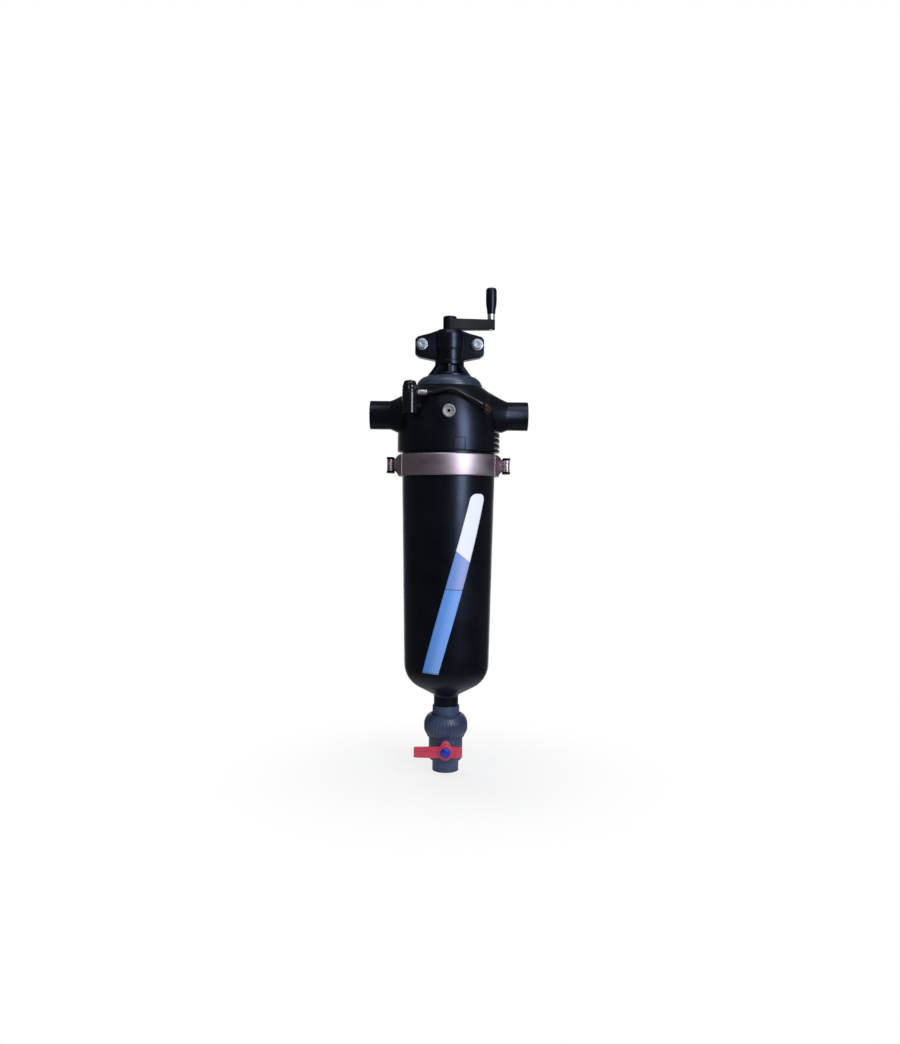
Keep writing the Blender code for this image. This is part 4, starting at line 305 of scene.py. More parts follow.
def moulded(name, low, high, smooth, rough, grain=0.00009, edges=0.0009, shine=0.5):
    """Satin moulded plastic: a fine spark-eroded grain, cloudy gloss and softened edges."""
    made, tree, shader, here = start_finish(name, ior=1.53, specular_ior_level=shine)
    clouds = add(tree, "ShaderNodeTexNoise", {"Vector": here, "Scale": 22.0, "Detail": 4.0})
    fine = add(tree, "ShaderNodeTexNoise", {"Vector": here, "Scale": 1400.0, "Detail": 2.0})
    gloss = add(tree, "ShaderNodeMapRange", {"Value": clouds.outputs[0], "From Min": 0.3, "From Max": 0.7,
                                             "To Min": smooth, "To Max": rough})
    rim = add(tree, "ShaderNodeBevel", {"Radius": edges}, samples=4)
    grained = add(tree, "ShaderNodeBump", {"Height": fine.outputs[0], "Distance": grain, "Strength": 0.6,
                                           "Normal": rim.outputs[0]})
    tree.links.new(two_tones(tree, clouds.outputs[0], low, high), shader.inputs["Base Color"])
    tree.links.new(gloss.outputs[0], shader.inputs["Roughness"])
    tree.links.new(grained.outputs[0], shader.inputs["Normal"])
    return made


# Black glass-filled nylon from an eroded mould: near black, satin, faintly blue in its shine
black_nylon = moulded("moulded_glass_filled_nylon", "040507", "0a0b10", 0.26, 0.36, shine=0.46)
black_nylon.node_tree.nodes["Principled BSDF"].inputs["Specular Tint"].default_value = linear("c4d0f0")

FACING_FRONT = Matrix.Rotation(math.radians(90), 4, "X")
ABOUT_X = Matrix.Rotation(math.radians(90), 4, "Y")
skirt = 0.1064
shoulder = 0.087
outline = [(0, -0.10435, 0), (0.1032, -0.10435, 0.0006), (0.1032, -0.0843, 0.0006), (0.0968, -0.0843, 0.001),
           (0.0968, -0.077, 0.0004), (skirt, -0.077, 0.0016)]
for index in range(25):
    share = 1 - index / 24
    outline.append((shoulder + (skirt - shoulder) * math.sin(math.pi / 2 * share), 0.044 - 0.09 * share, 0))
outline += [(0.0765, 0.0535, 0.005), (0.074, 0.056, 0.0025), (0.0615, 0.056, 0.0008), (0.0615, 0.07, 0.001),
            (0, 0.07, 0)]
head = lathe("head", outline, 144)

flare = []
for index in range(17):
    share = index / 16
    flare.append((0.0298 + 0.0242 * share ** 1.15, 0.122 - 0.046 * share, 0))
half = [(0, 0.164, 0), (0.0298, 0.164, 0.0015)] + flare
port_bar = lathe("port_bar", half + [(radius, -along, edge) for radius, along, edge in reversed(half)], 96, ABOUT_X)
plug_boss = lathe("plug_boss", [(0, 0.06, 0), (0.016, 0.06, 0), (0.016, 0.103, 0.0008), (0, 0.103, 0)], 64, FACING_FRONT)


def outward(angle, height):
    """The turn that lays +Z along a spoke of the filter at that angle and height."""
    return Matrix.Translation((0, 0, height)) @ Matrix.Rotation(angle, 4, "Z") @ ABOUT_X


cock_angle = math.atan2(-0.088, -0.078)
elbow_angle = math.radians(-43)
cock_boss = lathe("cock_boss", [(0, 0.07, 0), (0.011, 0.07, 0), (0.011, 0.1018, 0.0008), (0, 0.1018, 0)], 48,
                  outward(cock_angle, 0.012))
elbow_boss = lathe("elbow_boss", [(0, 0.07, 0), (0.0105, 0.07, 0), (0.0105, 0.102, 0.0008), (0, 0.102, 0)], 48,
                   outward(elbow_angle, 0.006))
pad_angle = math.radians(-78.5)
pad_sweep = math.radians(12)
blank_pad = lathe("blank_pad", [(0.095, -0.0755, 0), (0.1070, -0.0755, 0.0003), (0.1070, -0.0530, 0.0003),
                                (0.095, -0.0530, 0)], 12, Matrix(), pad_angle - pad_sweep / 2, pad_sweep)
pad_groove = lathe("pad_groove", [(0.1050, -0.0768, 0), (0.12, -0.0768, 0), (0.12, -0.0517, 0), (0.1050, -0.0517, 0)],
                   12, Matrix(), pad_angle - pad_sweep / 2 - 0.013, pad_sweep + 0.026)
carve(head, pad_groove)
carve(head, port_bar, plug_boss, cock_boss, elbow_boss, blank_pad, operation="UNION")
chamber = lathe("chamber", [(0, -0.12, 0), (0.0885, -0.12, 0), (0.0885, -0.092, 0.001), (0.056, -0.092, 0.001),
                            (0.056, 0.0385, 0.002), (0.045, 0.0495, 0.002), (0.045, 0.09, 0), (0, 0.09, 0)], 96)
inlet_bore = lathe("inlet_bore", [(0, -0.18, 0), (0.0245, -0.18, 0), (0.0245, -0.03, 0), (0, -0.03, 0)], 72, ABOUT_X)
outlet_bore = lathe("outlet_bore", [(0, 0.065, 0), (0.0245, 0.065, 0), (0.0245, 0.18, 0), (0, 0.18, 0)], 72, ABOUT_X)
carve(head, chamber, inlet_bore, outlet_bore)


def new_tree(name, *sizes):
    """A Geometry Nodes tree with named number inputs."""
    tree = bpy.data.node_groups.new(name, "GeometryNodeTree")
    tree.interface.new_socket("Geometry", in_out="INPUT", socket_type="NodeSocketGeometry")
    for size in sizes:
        tree.interface.new_socket(size, in_out="INPUT", socket_type="NodeSocketFloat")
    tree.interface.new_socket("Geometry", in_out="OUTPUT", socket_type="NodeSocketGeometry")
    return tree, add(tree, "NodeGroupInput").outputs


def end_tree(tree, geometry, finish=None):
    """Ends a tree in real geometry with its material."""
    real = add(tree, "GeometryNodeRealizeInstances", {"Geometry": geometry})
    painted = add(tree, "GeometryNodeSetMaterial", {"Geometry": real.outputs[0], "Material": finish})
    add(tree, "NodeGroupOutput", {"Geometry": painted.outputs[0]})


def grow(piece, tree, **sizes):
    """Runs a tree on a piece with its inputs set by name, and keeps the plain result."""
    step = piece.modifiers.new(tree.name, "NODES")
    step.node_group = tree
    for item in tree.interface.items_tree:
        if item.in_out == "INPUT" and item.name in sizes:
            step[item.identifier] = sizes[item.name]
    plain(piece)
    piece.data.shade_smooth()
    piece.data.set_sharp_from_angle(angle=math.radians(32))


# The gaps between the ribs at the right: one curved bar, stacked at the ribs' pitch
tree, given = new_tree("stacked_up", "Count", "Pitch")
line = add(tree, "GeometryNodeMeshLine", {"Count": 4})
line.mode = "OFFSET"
tree.links.new(given["Count"], line.inputs["Count"])
upwards = add(tree, "ShaderNodeCombineXYZ", {"Z": given["Pitch"]})
tree.links.new(upwards.outputs[0], line.inputs["Offset"])
stack = add(tree, "GeometryNodeInstanceOnPoints", {"Points": line.outputs[0], "Instance": given["Geometry"]})
end_tree(tree, stack.outputs[0], black_nylon)
stacked_up = tree
span = math.radians(58)
lowest = -0.0694
gap = lathe("rib_gap", [(0.0955, lowest - 0.0022, 0.0012), (0.13, lowest - 0.0022, 0),
                        (0.13, lowest + 0.0022, 0), (0.0955, lowest + 0.0022, 0.0012)],
            32, Matrix(), -span / 2, span)
grow(gap, stacked_up, Count=4, Pitch=0.0111)
carve(head, gap)
fit(head, black_nylon, "filter_root", "black_nylon", "head_body")

# ---------------------------------------------------------------- Pressure point
# Round plug at the front for a pressure gauge, turned from brass and nickel
# plated. It is screwed into the boss and has a key socket in its middle.


def plated(name, low, high, smooth, rough, lines=(60, 60, 60), edges=0.0004):
    """Bright metal: fine lines or pits left by making, and rims that catch light."""
    made, tree, shader, here = start_finish(name, metallic=1.0)
    laid = add(tree, "ShaderNodeMapping", {"Vector": here, "Scale": lines})
    marks = add(tree, "ShaderNodeTexNoise", {"Vector": laid.outputs[0], "Scale": 9.0, "Detail": 5.0})
    gloss = add(tree, "ShaderNodeMapRange", {"Value": marks.outputs[0], "From Min": 0.3, "From Max": 0.7,
                                             "To Min": smooth, "To Max": rough})
    rim = add(tree, "ShaderNodeBevel", {"Radius": edges}, samples=4)
    scored = add(tree, "ShaderNodeBump", {"Height": marks.outputs[0], "Distance": 0.00004, "Strength": 0.5,
                                          "Normal": rim.outputs[0]})
    tree.links.new(two_tones(tree, marks.outputs[0], low, high), shader.inputs["Base Color"])
    tree.links.new(gloss.outputs[0], shader.inputs["Roughness"])
    tree.links.new(scored.outputs[0], shader.inputs["Normal"])
    return made


# Nickel on turned brass: warm grey, bright, with faint turning marks
nickel_plate = plated("nickel_plated_brass", "b9b2b3", "dcd6d6", 0.34, 0.46)
plug = lathe("front_plug", [(0, 0.095, 0), (0.0065, 0.095, 0.0003), (0.0065, 0.1033, 0), (0.0135, 0.1033, 0.0003),
                            (0.0135, 0.1057, 0.0003), (0.012, 0.1073, 0.0003), (0.0095, 0.1073, 0.0004),
                            (0.008, 0.1058, 0.0003), (0, 0.1058, 0)], 72, FACING_FRONT)
carve(plug, plate("plug_key", hexagon(0.0062), 0.0993, 0.12, FACING_FRONT))
fit(plug, nickel_plate, "filter_root", "stainless_steel", "pressure_point_plug")

# ---------------------------------------------------------------- Selector cock
# Three-way cock at the left front: a black nylon body on a stub that screws
# into the head, and a fluted knob on top that turns its spool.
glossy_nylon = moulded("moulded_glossy_nylon", "07080b", "0c0e12", 0.15, 0.21, 0.00003, 0.0007)
COCK = Matrix.Translation((-0.078, -0.088, 0))
cock = lathe("cock_body", [(0, -0.005, 0), (0.0155, -0.005, 0.0015), (0.0155, 0.0365, 0.0004), (0.0148, 0.0372, 0.0004),
                           (0.0148, 0.0382, 0.0004), (0.0155, 0.0389, 0.0004), (0.0155, 0.043, 0.0009),
                           (0, 0.043, 0)], 72, COCK)
stub = lathe("cock_stub", [(0, 0.09, 0), (0.0065, 0.09, 0), (0.0065, 0.117, 0), (0, 0.117, 0)], 40,
             outward(cock_angle, 0.012))
collar = lathe("stub_collar", [(0, 0.1019, 0), (0.009, 0.1019, 0.0005), (0.009, 0.1045, 0.0005), (0, 0.1045, 0)], 40,
               outward(cock_angle, 0.012))
carve(cock, stub, collar, operation="UNION")
carve(cock, lathe("spool_bore", [(0, 0.0027, 0), (0.0053, 0.0027, 0), (0.0053, 0.05, 0), (0, 0.05, 0)], 40, COCK))
fit(cock, glossy_nylon, "filter_root", "black_nylon", "selector_cock_body")

# Flutes cut by one rule round a turned blank: deep in the middle of each flute, none on the rim
tree, given = new_tree("fluted", "Flutes", "Depth", "Low", "High", "Ease")
spot = add(tree, "GeometryNodeInputPosition")
axes = add(tree, "ShaderNodeSeparateXYZ", {0: spot.outputs[0]})
turn = add(tree, "ShaderNodeMath", {0: axes.outputs[1], 1: axes.outputs[0]}, operation="ARCTAN2")
turned = add(tree, "ShaderNodeMath", {0: turn.outputs[0], 1: given["Flutes"]}, operation="MULTIPLY")
wave = add(tree, "ShaderNodeMath", {0: turned.outputs[0]}, operation="COSINE")
groove = add(tree, "ShaderNodeMapRange", {"Value": wave.outputs[0], "From Min": 0.15, "From Max": 0.85},
             interpolation_type="SMOOTHSTEP")
rising = add(tree, "ShaderNodeMath", {0: axes.outputs[2], 1: given["Low"]}, operation="SUBTRACT")
rising = add(tree, "ShaderNodeMath", {0: rising.outputs[0], 1: given["Ease"]}, operation="DIVIDE", use_clamp=True)
falling = add(tree, "ShaderNodeMath", {0: given["High"], 1: axes.outputs[2]}, operation="SUBTRACT")
falling = add(tree, "ShaderNodeMath", {0: falling.outputs[0], 1: given["Ease"]}, operation="DIVIDE", use_clamp=True)
band = add(tree, "ShaderNodeMath", {0: rising.outputs[0], 1: falling.outputs[0]}, operation="MULTIPLY")
deep = add(tree, "ShaderNodeMath", {0: groove.outputs[0], 1: band.outputs[0]}, operation="MULTIPLY")
deep = add(tree, "ShaderNodeMath", {0: deep.outputs[0], 1: given["Depth"]}, operation="MULTIPLY")
flat = add(tree, "ShaderNodeVectorMath", {0: spot.outputs[0], 1: (-1, -1, 0)}, operation="MULTIPLY")
inwards = add(tree, "ShaderNodeVectorMath", {0: flat.outputs[0]}, operation="NORMALIZE")
shift = add(tree, "ShaderNodeVectorMath", {0: inwards.outputs[0], "Scale": deep.outputs[0]}, operation="SCALE")
radius_now = add(tree, "ShaderNodeVectorMath", {0: flat.outputs[0]}, operation="LENGTH")
outer_skin = add(tree, "FunctionNodeCompare", {0: radius_now.outputs["Value"], 1: 0.008}, operation="GREATER_THAN")
moved = add(tree, "GeometryNodeSetPosition", {"Geometry": given["Geometry"], "Selection": outer_skin.outputs[0],
                                              "Offset": shift.outputs[0]})
end_tree(tree, moved.outputs[0], black_nylon)
fluted = tree
knob = lathe("selector_knob_piece", [(0, 0.0433, 0), (0.0145, 0.0433, 0.0004), (0.0152, 0.0465, 0.002), (0.0148, 0.05, 0.002),
                               (0.0126, 0.0565, 0), (0.0108, 0.0603, 0.0016), (0, 0.0603, 0)], 192)
grow(knob, fluted, Flutes=8, Depth=0.0014, Low=0.0432, High=0.0615, Ease=0.0012)
pointer = plate("knob_pointer", [(-0.0015, 0), (-0.0015, -0.0102), (0.0015, -0.0102), (0.0015, 0)], 0.0583, 0.0613,
                Matrix(), 0.0003)
carve(knob, pointer, operation="UNION")
spool = lathe("knob_spool", [(0, 0.003, 0), (0.005, 0.003, 0.0004), (0.005, 0.045, 0), (0, 0.045, 0)], 40)
carve(knob, spool, operation="UNION")
knob.data.transform(COCK)
fit(knob, glossy_nylon, "selector", "black_nylon", "selector_knob")

# ---------------------------------------------------------------- Tube fitting
# Push-in fitting of nickel-plated brass, screwed into the side of the cock,
# with the release ring that holds the control tube.
ALONG = Matrix.Translation((0, -0.088, 0.0375)) @ ABOUT_X
fitting = lathe("tube_fitting_piece", [(0, -0.072, 0), (0.0036, -0.072, 0), (0.0036, -0.0622, 0), (0.0045, -0.0622, 0),
                                      (0.0045, -0.0592, 0), (0.006, -0.0582, 0.0004), (0.006, -0.0482, 0.0004),
                                      (0.0052, -0.0478, 0), (0.0052, -0.0466, 0), (0.0058, -0.0464, 0.0003),
                                      (0.0058, -0.0442, 0.0005), (0, -0.0442, 0)], 48, ALONG)
fitting_hexagon = plate("fitting_hexagon", hexagon(0.0105), -0.0622, -0.0592, ALONG, 0.0003)
carve(fitting, fitting_hexagon, operation="UNION")
fit(fitting, nickel_plate, "filter_root", "plated_brass", "cock_tube_fitting")

# ---------------------------------------------------------------- Elbow
# Brass elbow screwed into the head at the right front, with its hexagon and
# the compression ring at the tube's end.
turned_brass = plated("turned_brass", "7c5a4c", "b4907c", 0.22, 0.36)
centre = outward(elbow_angle, 0.006) @ Vector((0, 0, 0.1088))
sideways = Vector((math.sin(elbow_angle), -math.cos(elbow_angle), 0))
rise = math.radians(25)
leaving = (sideways * math.cos(rise) + Vector((0, 0, math.sin(rise)))).normalized()
ARM = Matrix.Translation(centre) @ leaving.to_track_quat("Z", "Y").to_matrix().to_4x4()
elbow = lathe("tube_elbow_piece", [(0, 0.09, 0), (0.0068, 0.09, 0), (0.0068, 0.109, 0.0), (0.0062, 0.1122, 0.002),
                             (0, 0.1132, 0)], 48, outward(elbow_angle, 0.006))
elbow_arm = lathe("elbow_arm", [(0, -0.003, 0), (0.0058, -0.003, 0.002), (0.0058, 0.006, 0), (0.0066, 0.0065, 0.0004),
                                (0.0066, 0.0138, 0.0006), (0, 0.014, 0)], 48, ARM)
elbow_hexagon = plate("elbow_hexagon", hexagon(0.0175), 0.1023, 0.1053, outward(elbow_angle, 0.006), 0.0004)
carve(elbow, elbow_arm, elbow_hexagon, operation="UNION")
fit(elbow, turned_brass, "filter_root", "brass", "tube_elbow")

# ---------------------------------------------------------------- Control tube
# Black extruded polyamide tube, 8 mm outside, that carries the head's
# pressure from the elbow to the cock.
polyamide = moulded("extruded_polyamide_tube", "0e0f10", "15171a", 0.26, 0.36, 0.00003, 0.0002)
route = [Vector((-0.0436, -0.088, 0.0375)), Vector((-0.0342, -0.088, 0.0375)), Vector((0.006, -0.0955, 0.0435)),
         Vector((0.038, -0.0925, 0.0295)), centre + leaving * 0.024, centre + leaving * 0.0143]
slopes = []
for index, point in enumerate(route):
    before = route[max(index - 1, 0)]
    after = route[min(index + 1, len(route) - 1)]
    slopes.append((after - before).normalized())
path = []
for index in range(len(route) - 1):
    here, after = route[index], route[index + 1]
    gap = (after - here).length
    for step in range(10):
        share = step / 10
        path.append(here * (2 * share ** 3 - 3 * share ** 2 + 1) + after * (3 * share ** 2 - 2 * share ** 3)
                    + slopes[index] * gap * (share ** 3 - 2 * share ** 2 + share)
                    + slopes[index + 1] * gap * (share ** 3 - share ** 2))
path.append(route[-1])
curve = bpy.data.curves.new("control_tube", "CURVE")
curve.dimensions = "3D"
curve.bevel_depth = 0.0038
curve.bevel_resolution = 8
curve.use_fill_caps = True
line = curve.splines.new("POLY")
line.points.add(len(path) - 1)
for spot, point in zip(line.points, path):
    spot.co = (*point, 1)
drawn = bpy.data.objects.new("control_tube_line", curve)
bpy.context.collection.objects.link(drawn)
mesh = bpy.data.meshes.new_from_object(drawn.evaluated_get(bpy.context.evaluated_depsgraph_get()))
bpy.data.objects.remove(drawn)
mesh.shade_smooth()
mesh.set_sharp_from_angle(angle=math.radians(40))
control_tube = bpy.data.objects.new("control_tube_piece", mesh)
bpy.context.collection.objects.link(control_tube)
fit(control_tube, polyamide, "filter_root", "black_polyamide_tube", "control_tube")

# ---------------------------------------------------------------- Clamp
# Two halves of rolled stainless sheet that hold the bowl's flange to the
# head's. Each end is doubled by a strap that leaves the band straight, narrows
# and is looped round a pin.
# Its colour drifts in broad soft patches between pinkish grey and pale grey: painted reflections of coloured
# surroundings over the steel's own grey.
stainless = plated("rolled_stainless_with_painted_reflections", "a8868f", "d6ccd2", 0.40, 0.52, (0.9, 0.9, 2.2), 0.0008)
middle = -0.1045
opening = math.asin(0.0125 / 0.106)
section = [(0.0975, -0.0825, 0), (0.106, -0.0825, 0.004), (0.106, -0.127, 0.0022), (0.0975, -0.127, 0),
           (0.0975, -0.125, 0), (0.104, -0.125, 0.0008), (0.104, -0.0845, 0.003), (0.0975, -0.0845, 0)]
leave = math.radians(63)
STRAP = (Matrix.Translation((0.106 * math.sin(leave), -0.106 * math.cos(leave), middle))
         @ Matrix.Rotation(leave, 4, "Z") @ FACING_FRONT)
strap_outline = [(-0.001, -0.0215), (0.008, -0.0213), (0.020, -0.0185), (0.029, -0.0135), (0.034, -0.0119),
                 (0.0436, -0.0119), (0.0436, 0.0119), (0.034, 0.0119), (0.029, 0.0135), (0.020, 0.0185),
                 (0.008, 0.0213), (-0.001, 0.0215)]
for name, facing in (("clamp_band_front", -1), ("clamp_band_rear", 1)):
    start = opening if facing > 0 else opening + math.pi
    band = lathe(name + "_piece", section, 96, Matrix(), start, math.pi - 2 * opening)
    for side in (-1, 1):
        strap = plate("strap", strap_outline, -0.0004, 0.0018, Matrix.Diagonal((side, -facing, 1, 1)) @ STRAP, 0.0004)
        loop = lathe("loop", [(0.0049, middle - 0.0119, 0), (0.0066, middle - 0.0119, 0.0003),
                              (0.0066, middle + 0.0119, 0.0003), (0.0049, middle + 0.0119, 0)], 40,
                     Matrix.Translation((side * 0.1205, facing * 0.0125, 0)))
        slot = plate("slot", [(-0.0045, -0.0045), (0.0045, -0.0045), (0.0045, 0.0045), (-0.0045, 0.0045)],
                     -0.012, 0.012, Matrix.Translation((side * 0.1205, facing * 0.0125, middle)) @ FACING_FRONT)
        carve(band, strap, loop, operation="UNION")
        carve(band, slot)
    fit(band, stainless, "filter_root", "stainless_steel", name)

# ---------------------------------------------------------------- Clamp pins and bolts
# Four shouldered pins of zinc-plated steel sit in the loops, their ends painted
# near black as painted shade, and one bolt at each side pulls the front pin to the rear one.
zinc = plated("zinc_plated_steel", "c3ccd8", "eef1f5", 0.30, 0.46, (120, 120, 120))
pin_steel_with_painted_shade = plated("zinc_steel_with_painted_shade_ends", "c8c6cc", "e6e2e8", 0.30, 0.44, (120, 120, 120))
tree = pin_steel_with_painted_shade.node_tree
shader = tree.nodes["Principled BSDF"]
tone = shader.inputs["Base Color"].links[0].from_socket
# Past the waist, each pin's ends are painted near black (1c181a): painted shade on the caps, not a finish of the steel.
place = add(tree, "ShaderNodeTexCoord")
axes = add(tree, "ShaderNodeSeparateXYZ", {0: place.outputs["Object"]})
offset = add(tree, "ShaderNodeMath", {0: axes.outputs[2], 1: middle}, operation="SUBTRACT")
away = add(tree, "ShaderNodeMath", {0: offset.outputs[0]}, operation="ABSOLUTE")
ends = add(tree, "ShaderNodeMapRange", {"Value": away.outputs[0], "From Min": 0.0119, "From Max": 0.0123})
painted_shade_ends = add(tree, "ShaderNodeMix", {0: ends.outputs[0], 6: tone, 7: linear("1c181a")}, data_type="RGBA")
tree.links.new(painted_shade_ends.outputs[2], shader.inputs["Base Color"])
tree, given = new_tree("at_four_corners", "Across", "Deep")
grid = add(tree, "GeometryNodeMeshGrid", {"Vertices X": 2, "Vertices Y": 2})
tree.links.new(given["Across"], grid.inputs["Size X"])
tree.links.new(given["Deep"], grid.inputs["Size Y"])
four = add(tree, "GeometryNodeInstanceOnPoints", {"Points": grid.outputs[0], "Instance": given["Geometry"]})
end_tree(tree, four.outputs[0], pin_steel_with_painted_shade)
pins = lathe("clamp_pins", [(0, -0.0165, 0), (0.0078, -0.0165, 0.0008), (0.0078, -0.0122, 0.0004), (0.0046, -0.0122, 0),
                            (0.0046, 0.0122, 0), (0.0078, 0.0122, 0.0004), (0.0078, 0.0165, 0.0008), (0, 0.0165, 0)], 40,
             Matrix.Translation((0, 0, middle)))
grow(pins, tree, Across=0.241, Deep=0.025)
fit(pins, None, "filter_root", "stainless_steel", "clamp_trunnion_front_left", "clamp_trunnion_front_right",
    "clamp_trunnion_rear_left", "clamp_trunnion_rear_right")

clamp_bolts = None
for side in (-1, 1):
    BOLT = Matrix.Translation((side * 0.1205, 0, middle)) @ FACING_FRONT
    shank = lathe("clamp_bolts", [(0, -0.0197, 0), (0.003, -0.0197, 0), (0.003, 0.0193, 0.0003), (0, 0.0197, 0)], 32,
                  BOLT)
    bolt_head = plate("clamp_bolt_head", hexagon(0.0095), -0.0237, -0.0197, BOLT, 0.0005)
    carve(shank, bolt_head, operation="UNION")
    if clamp_bolts:
        carve(clamp_bolts, shank, operation="UNION")
    else:
        clamp_bolts = shank
fit(clamp_bolts, zinc, "filter_root", "stainless_steel", "clamp_bolt_left", "clamp_bolt_right")

# ---------------------------------------------------------------- Bowl
# Pressure bowl of the same black nylon, slightly tapered for the mould, with
# a dished foot and the neck that the drain union is bonded to.
knuckle = [(0.038 + 0.05 * math.cos(math.radians(angle)), -0.515 - 0.0525 * math.sin(math.radians(angle)), 0)
           for angle in range(0, 64, 7)]
last_r, last_z, _ = knuckle[-1]
slope = math.tan(math.radians(27))
neck_z = last_z - (last_r - 0.0253) * slope
outline = [(0.0905, -0.10465, 0.0005), (0.1032, -0.10465, 0.0005), (0.1032, -0.1247, 0.0008), (0.096, -0.1247, 0.001),
           (0.096, -0.134, 0)] + knuckle
outline += [(0.0273, neck_z, 0.003), (0.0253, neck_z - 0.004, 0.003), (0.0253, -0.6027, 0.0004),
            (0.0237, -0.6027, 0), (0.0237, -0.616, 0.0004),
            (0.0215, -0.616, 0), (0.0215, -0.568, 0), (0.032, -0.568, 0.0004)]
inner = [(0.038 + 0.0445 * math.cos(math.radians(angle)), -0.515 - 0.0445 * math.sin(math.radians(angle)), 0)
         for angle in range(0, 64, 7)]
outline += inner[::-1] + [(0.0905, -0.134, 0)]
bowl = lathe("bowl_piece", outline, 160)
fit(bowl, black_nylon, "filter_root", "black_nylon", "bowl")

# ---------------------------------------------------------------- Stripe
# Printed vinyl stripe that leans up the front of the bowl, round at its top
# end. It carries fields of colour: azure below, a paler blue over a thin joint
# line, and bare off-white above a slanting edge. The azure and the paler blue
# run lighter from the stripe's left edge to its right: a painted highlight.
made, tree, shader, here = start_finish("printed_vinyl_film_with_painted_highlight", roughness=0.34, ior=1.5)
laid = add(tree, "ShaderNodeUVMap", uv_map="stripe")
flat = add(tree, "ShaderNodeSeparateXYZ", {0: laid.outputs[0]})
# Both blues go from darker at the left edge to lighter at the right: painted highlight.
azure_with_painted_highlight = two_tones(tree, flat.outputs[0], "659ae6", "82aff2")
pale = two_tones(tree, flat.outputs[0], "7396d8", "9aa9dc")
joint = add(tree, "ShaderNodeMapRange", {"Value": flat.outputs[1], "From Min": 0.4655, "From Max": 0.4665})
line = add(tree, "ShaderNodeMapRange", {"Value": flat.outputs[1], "From Min": 0.4705, "From Max": 0.4715})
slanted = add(tree, "ShaderNodeMath", {0: flat.outputs[0], 1: 0.058, 2: flat.outputs[1]}, operation="MULTIPLY_ADD")
upper = add(tree, "ShaderNodeMapRange", {"Value": slanted.outputs[0], "From Min": 0.680, "From Max": 0.682})
ink = azure_with_painted_highlight
for edge, colour in ((joint, linear("3c5596")), (line, pale), (upper, linear("f4f5f8"))):
    field = add(tree, "ShaderNodeMix", {0: edge.outputs[0], 6: ink, 7: colour}, data_type="RGBA")
    ink = field.outputs[2]
dots = add(tree, "ShaderNodeTexNoise", {"Vector": here, "Scale": 700.0, "Detail": 2.0})
worn = add(tree, "ShaderNodeMapRange", {"Value": dots.outputs[0], "From Min": 0.3, "From Max": 0.7,
                                        "To Min": 0.93, "To Max": 1.0})
speckled = add(tree, "ShaderNodeMix", {0: 1.0, 6: ink, 7: worn.outputs[0]}, data_type="RGBA", blend_type="MULTIPLY")
tree.links.new(speckled.outputs[2], shader.inputs["Base Color"])
vinyl = made

shape = bmesh.new()
layer = shape.loops.layers.uv.new("stripe")
low, high = -0.5235, -0.1625
rounding = 0.0125
across, along = 14, 72
rows = []
for row in range(along + 1):
    share = row / along if row < 61 else 60 / along + 12 / along * math.sin(math.pi / 2 * (row - 60) / 12)
    down = (1 - share) * (high - low)
    width = 0.0355 + 0.0010 * share
    inset = rounding - math.sqrt(max(rounding ** 2 - max(rounding - down, 0) ** 2, 0))
    points = []
    for column in range(across + 1):
        reach = inset + (width - 2 * inset) * column / across
        height = low + (high - low) * share - 0.002 * reach / width
        body_radius = 0.096 + (0.088 - 0.096) * (height + 0.134) / (-0.515 + 0.134)
        if height < -0.515:
            body_radius = 0.038 + 0.05 * math.sqrt(1 - ((height + 0.515) / 0.0525) ** 2)
        round_by = (-0.0507 + 0.278 * (height + 0.5221) + reach) / body_radius
        radius = body_radius + 0.00012
        point = shape.verts.new((radius * math.sin(round_by), -radius * math.cos(round_by), height))
        points.append((point, (reach / width, share)))
    rows.append(points)
for lower, upper in zip(rows, rows[1:]):
    for column in range(across):
        corners = (lower[column], lower[column + 1], upper[column + 1], upper[column])
        face = shape.faces.new([point for point, spot in corners])
        for corner, (point, spot) in zip(face.loops, corners):
            corner[layer].uv = spot
mesh = bpy.data.meshes.new("bowl_stripe")
shape.to_mesh(mesh)
shape.free()
mesh.shade_smooth()
stripe = bpy.data.objects.new("bowl_stripe", mesh)
bpy.context.collection.objects.link(stripe)
thick = stripe.modifiers.new("film", "SOLIDIFY")
thick.thickness = 0.00024
thick.offset = -1
plain(stripe)
stripe.data.materials.append(vinyl)
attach(stripe, "filter_root")

# ---------------------------------------------------------------- Tower
# Black nylon tower that stands on the head and carries the spindle. Eight
# thin ribs run from its foot to its shoulder, and its flange sits in the split housing.
tower = lathe("bearing_tower_piece", [
    (0.0447, 0.0503, 0.0004), (0.0447, 0.0703, 0), (0.057, 0.0703, 0), (0.057, 0.0768, 0.0006),
    (0.0458, 0.0768, 0.0004), (0.0458, 0.0836, 0.0009), (0.027, 0.0836, 0.003), (0.023, 0.0896, 0.006),
    (0.023, 0.105, 0.003), (0.0303, 0.105, 0.0008), (0.0303, 0.114, 0.0012), (0.0185, 0.114, 0.0003),
    (0.0185, 0.119, 0.0003), (0.023, 0.119, 0.0004), (0.023, 0.124, 0.0004), (0.0084, 0.124, 0.0003),
    (0.0084, 0.0872, 0), (0.0128, 0.0872, 0), (0.0128, 0.0626, 0), (0.0153, 0.0626, 0), (0.0153, 0.0563, 0),
    (0.0203, 0.0563, 0), (0.0203, 0.0503, 0)], 96)
tree, given = new_tree("ribs_round", "Count")
circle = add(tree, "GeometryNodeMeshCircle", {"Radius": 1.0})
tree.links.new(given["Count"], circle.inputs["Vertices"])
spot = add(tree, "GeometryNodeInputPosition")
axes = add(tree, "ShaderNodeSeparateXYZ", {0: spot.outputs[0]})
turn = add(tree, "ShaderNodeMath", {0: axes.outputs[1], 1: axes.outputs[0]}, operation="ARCTAN2")
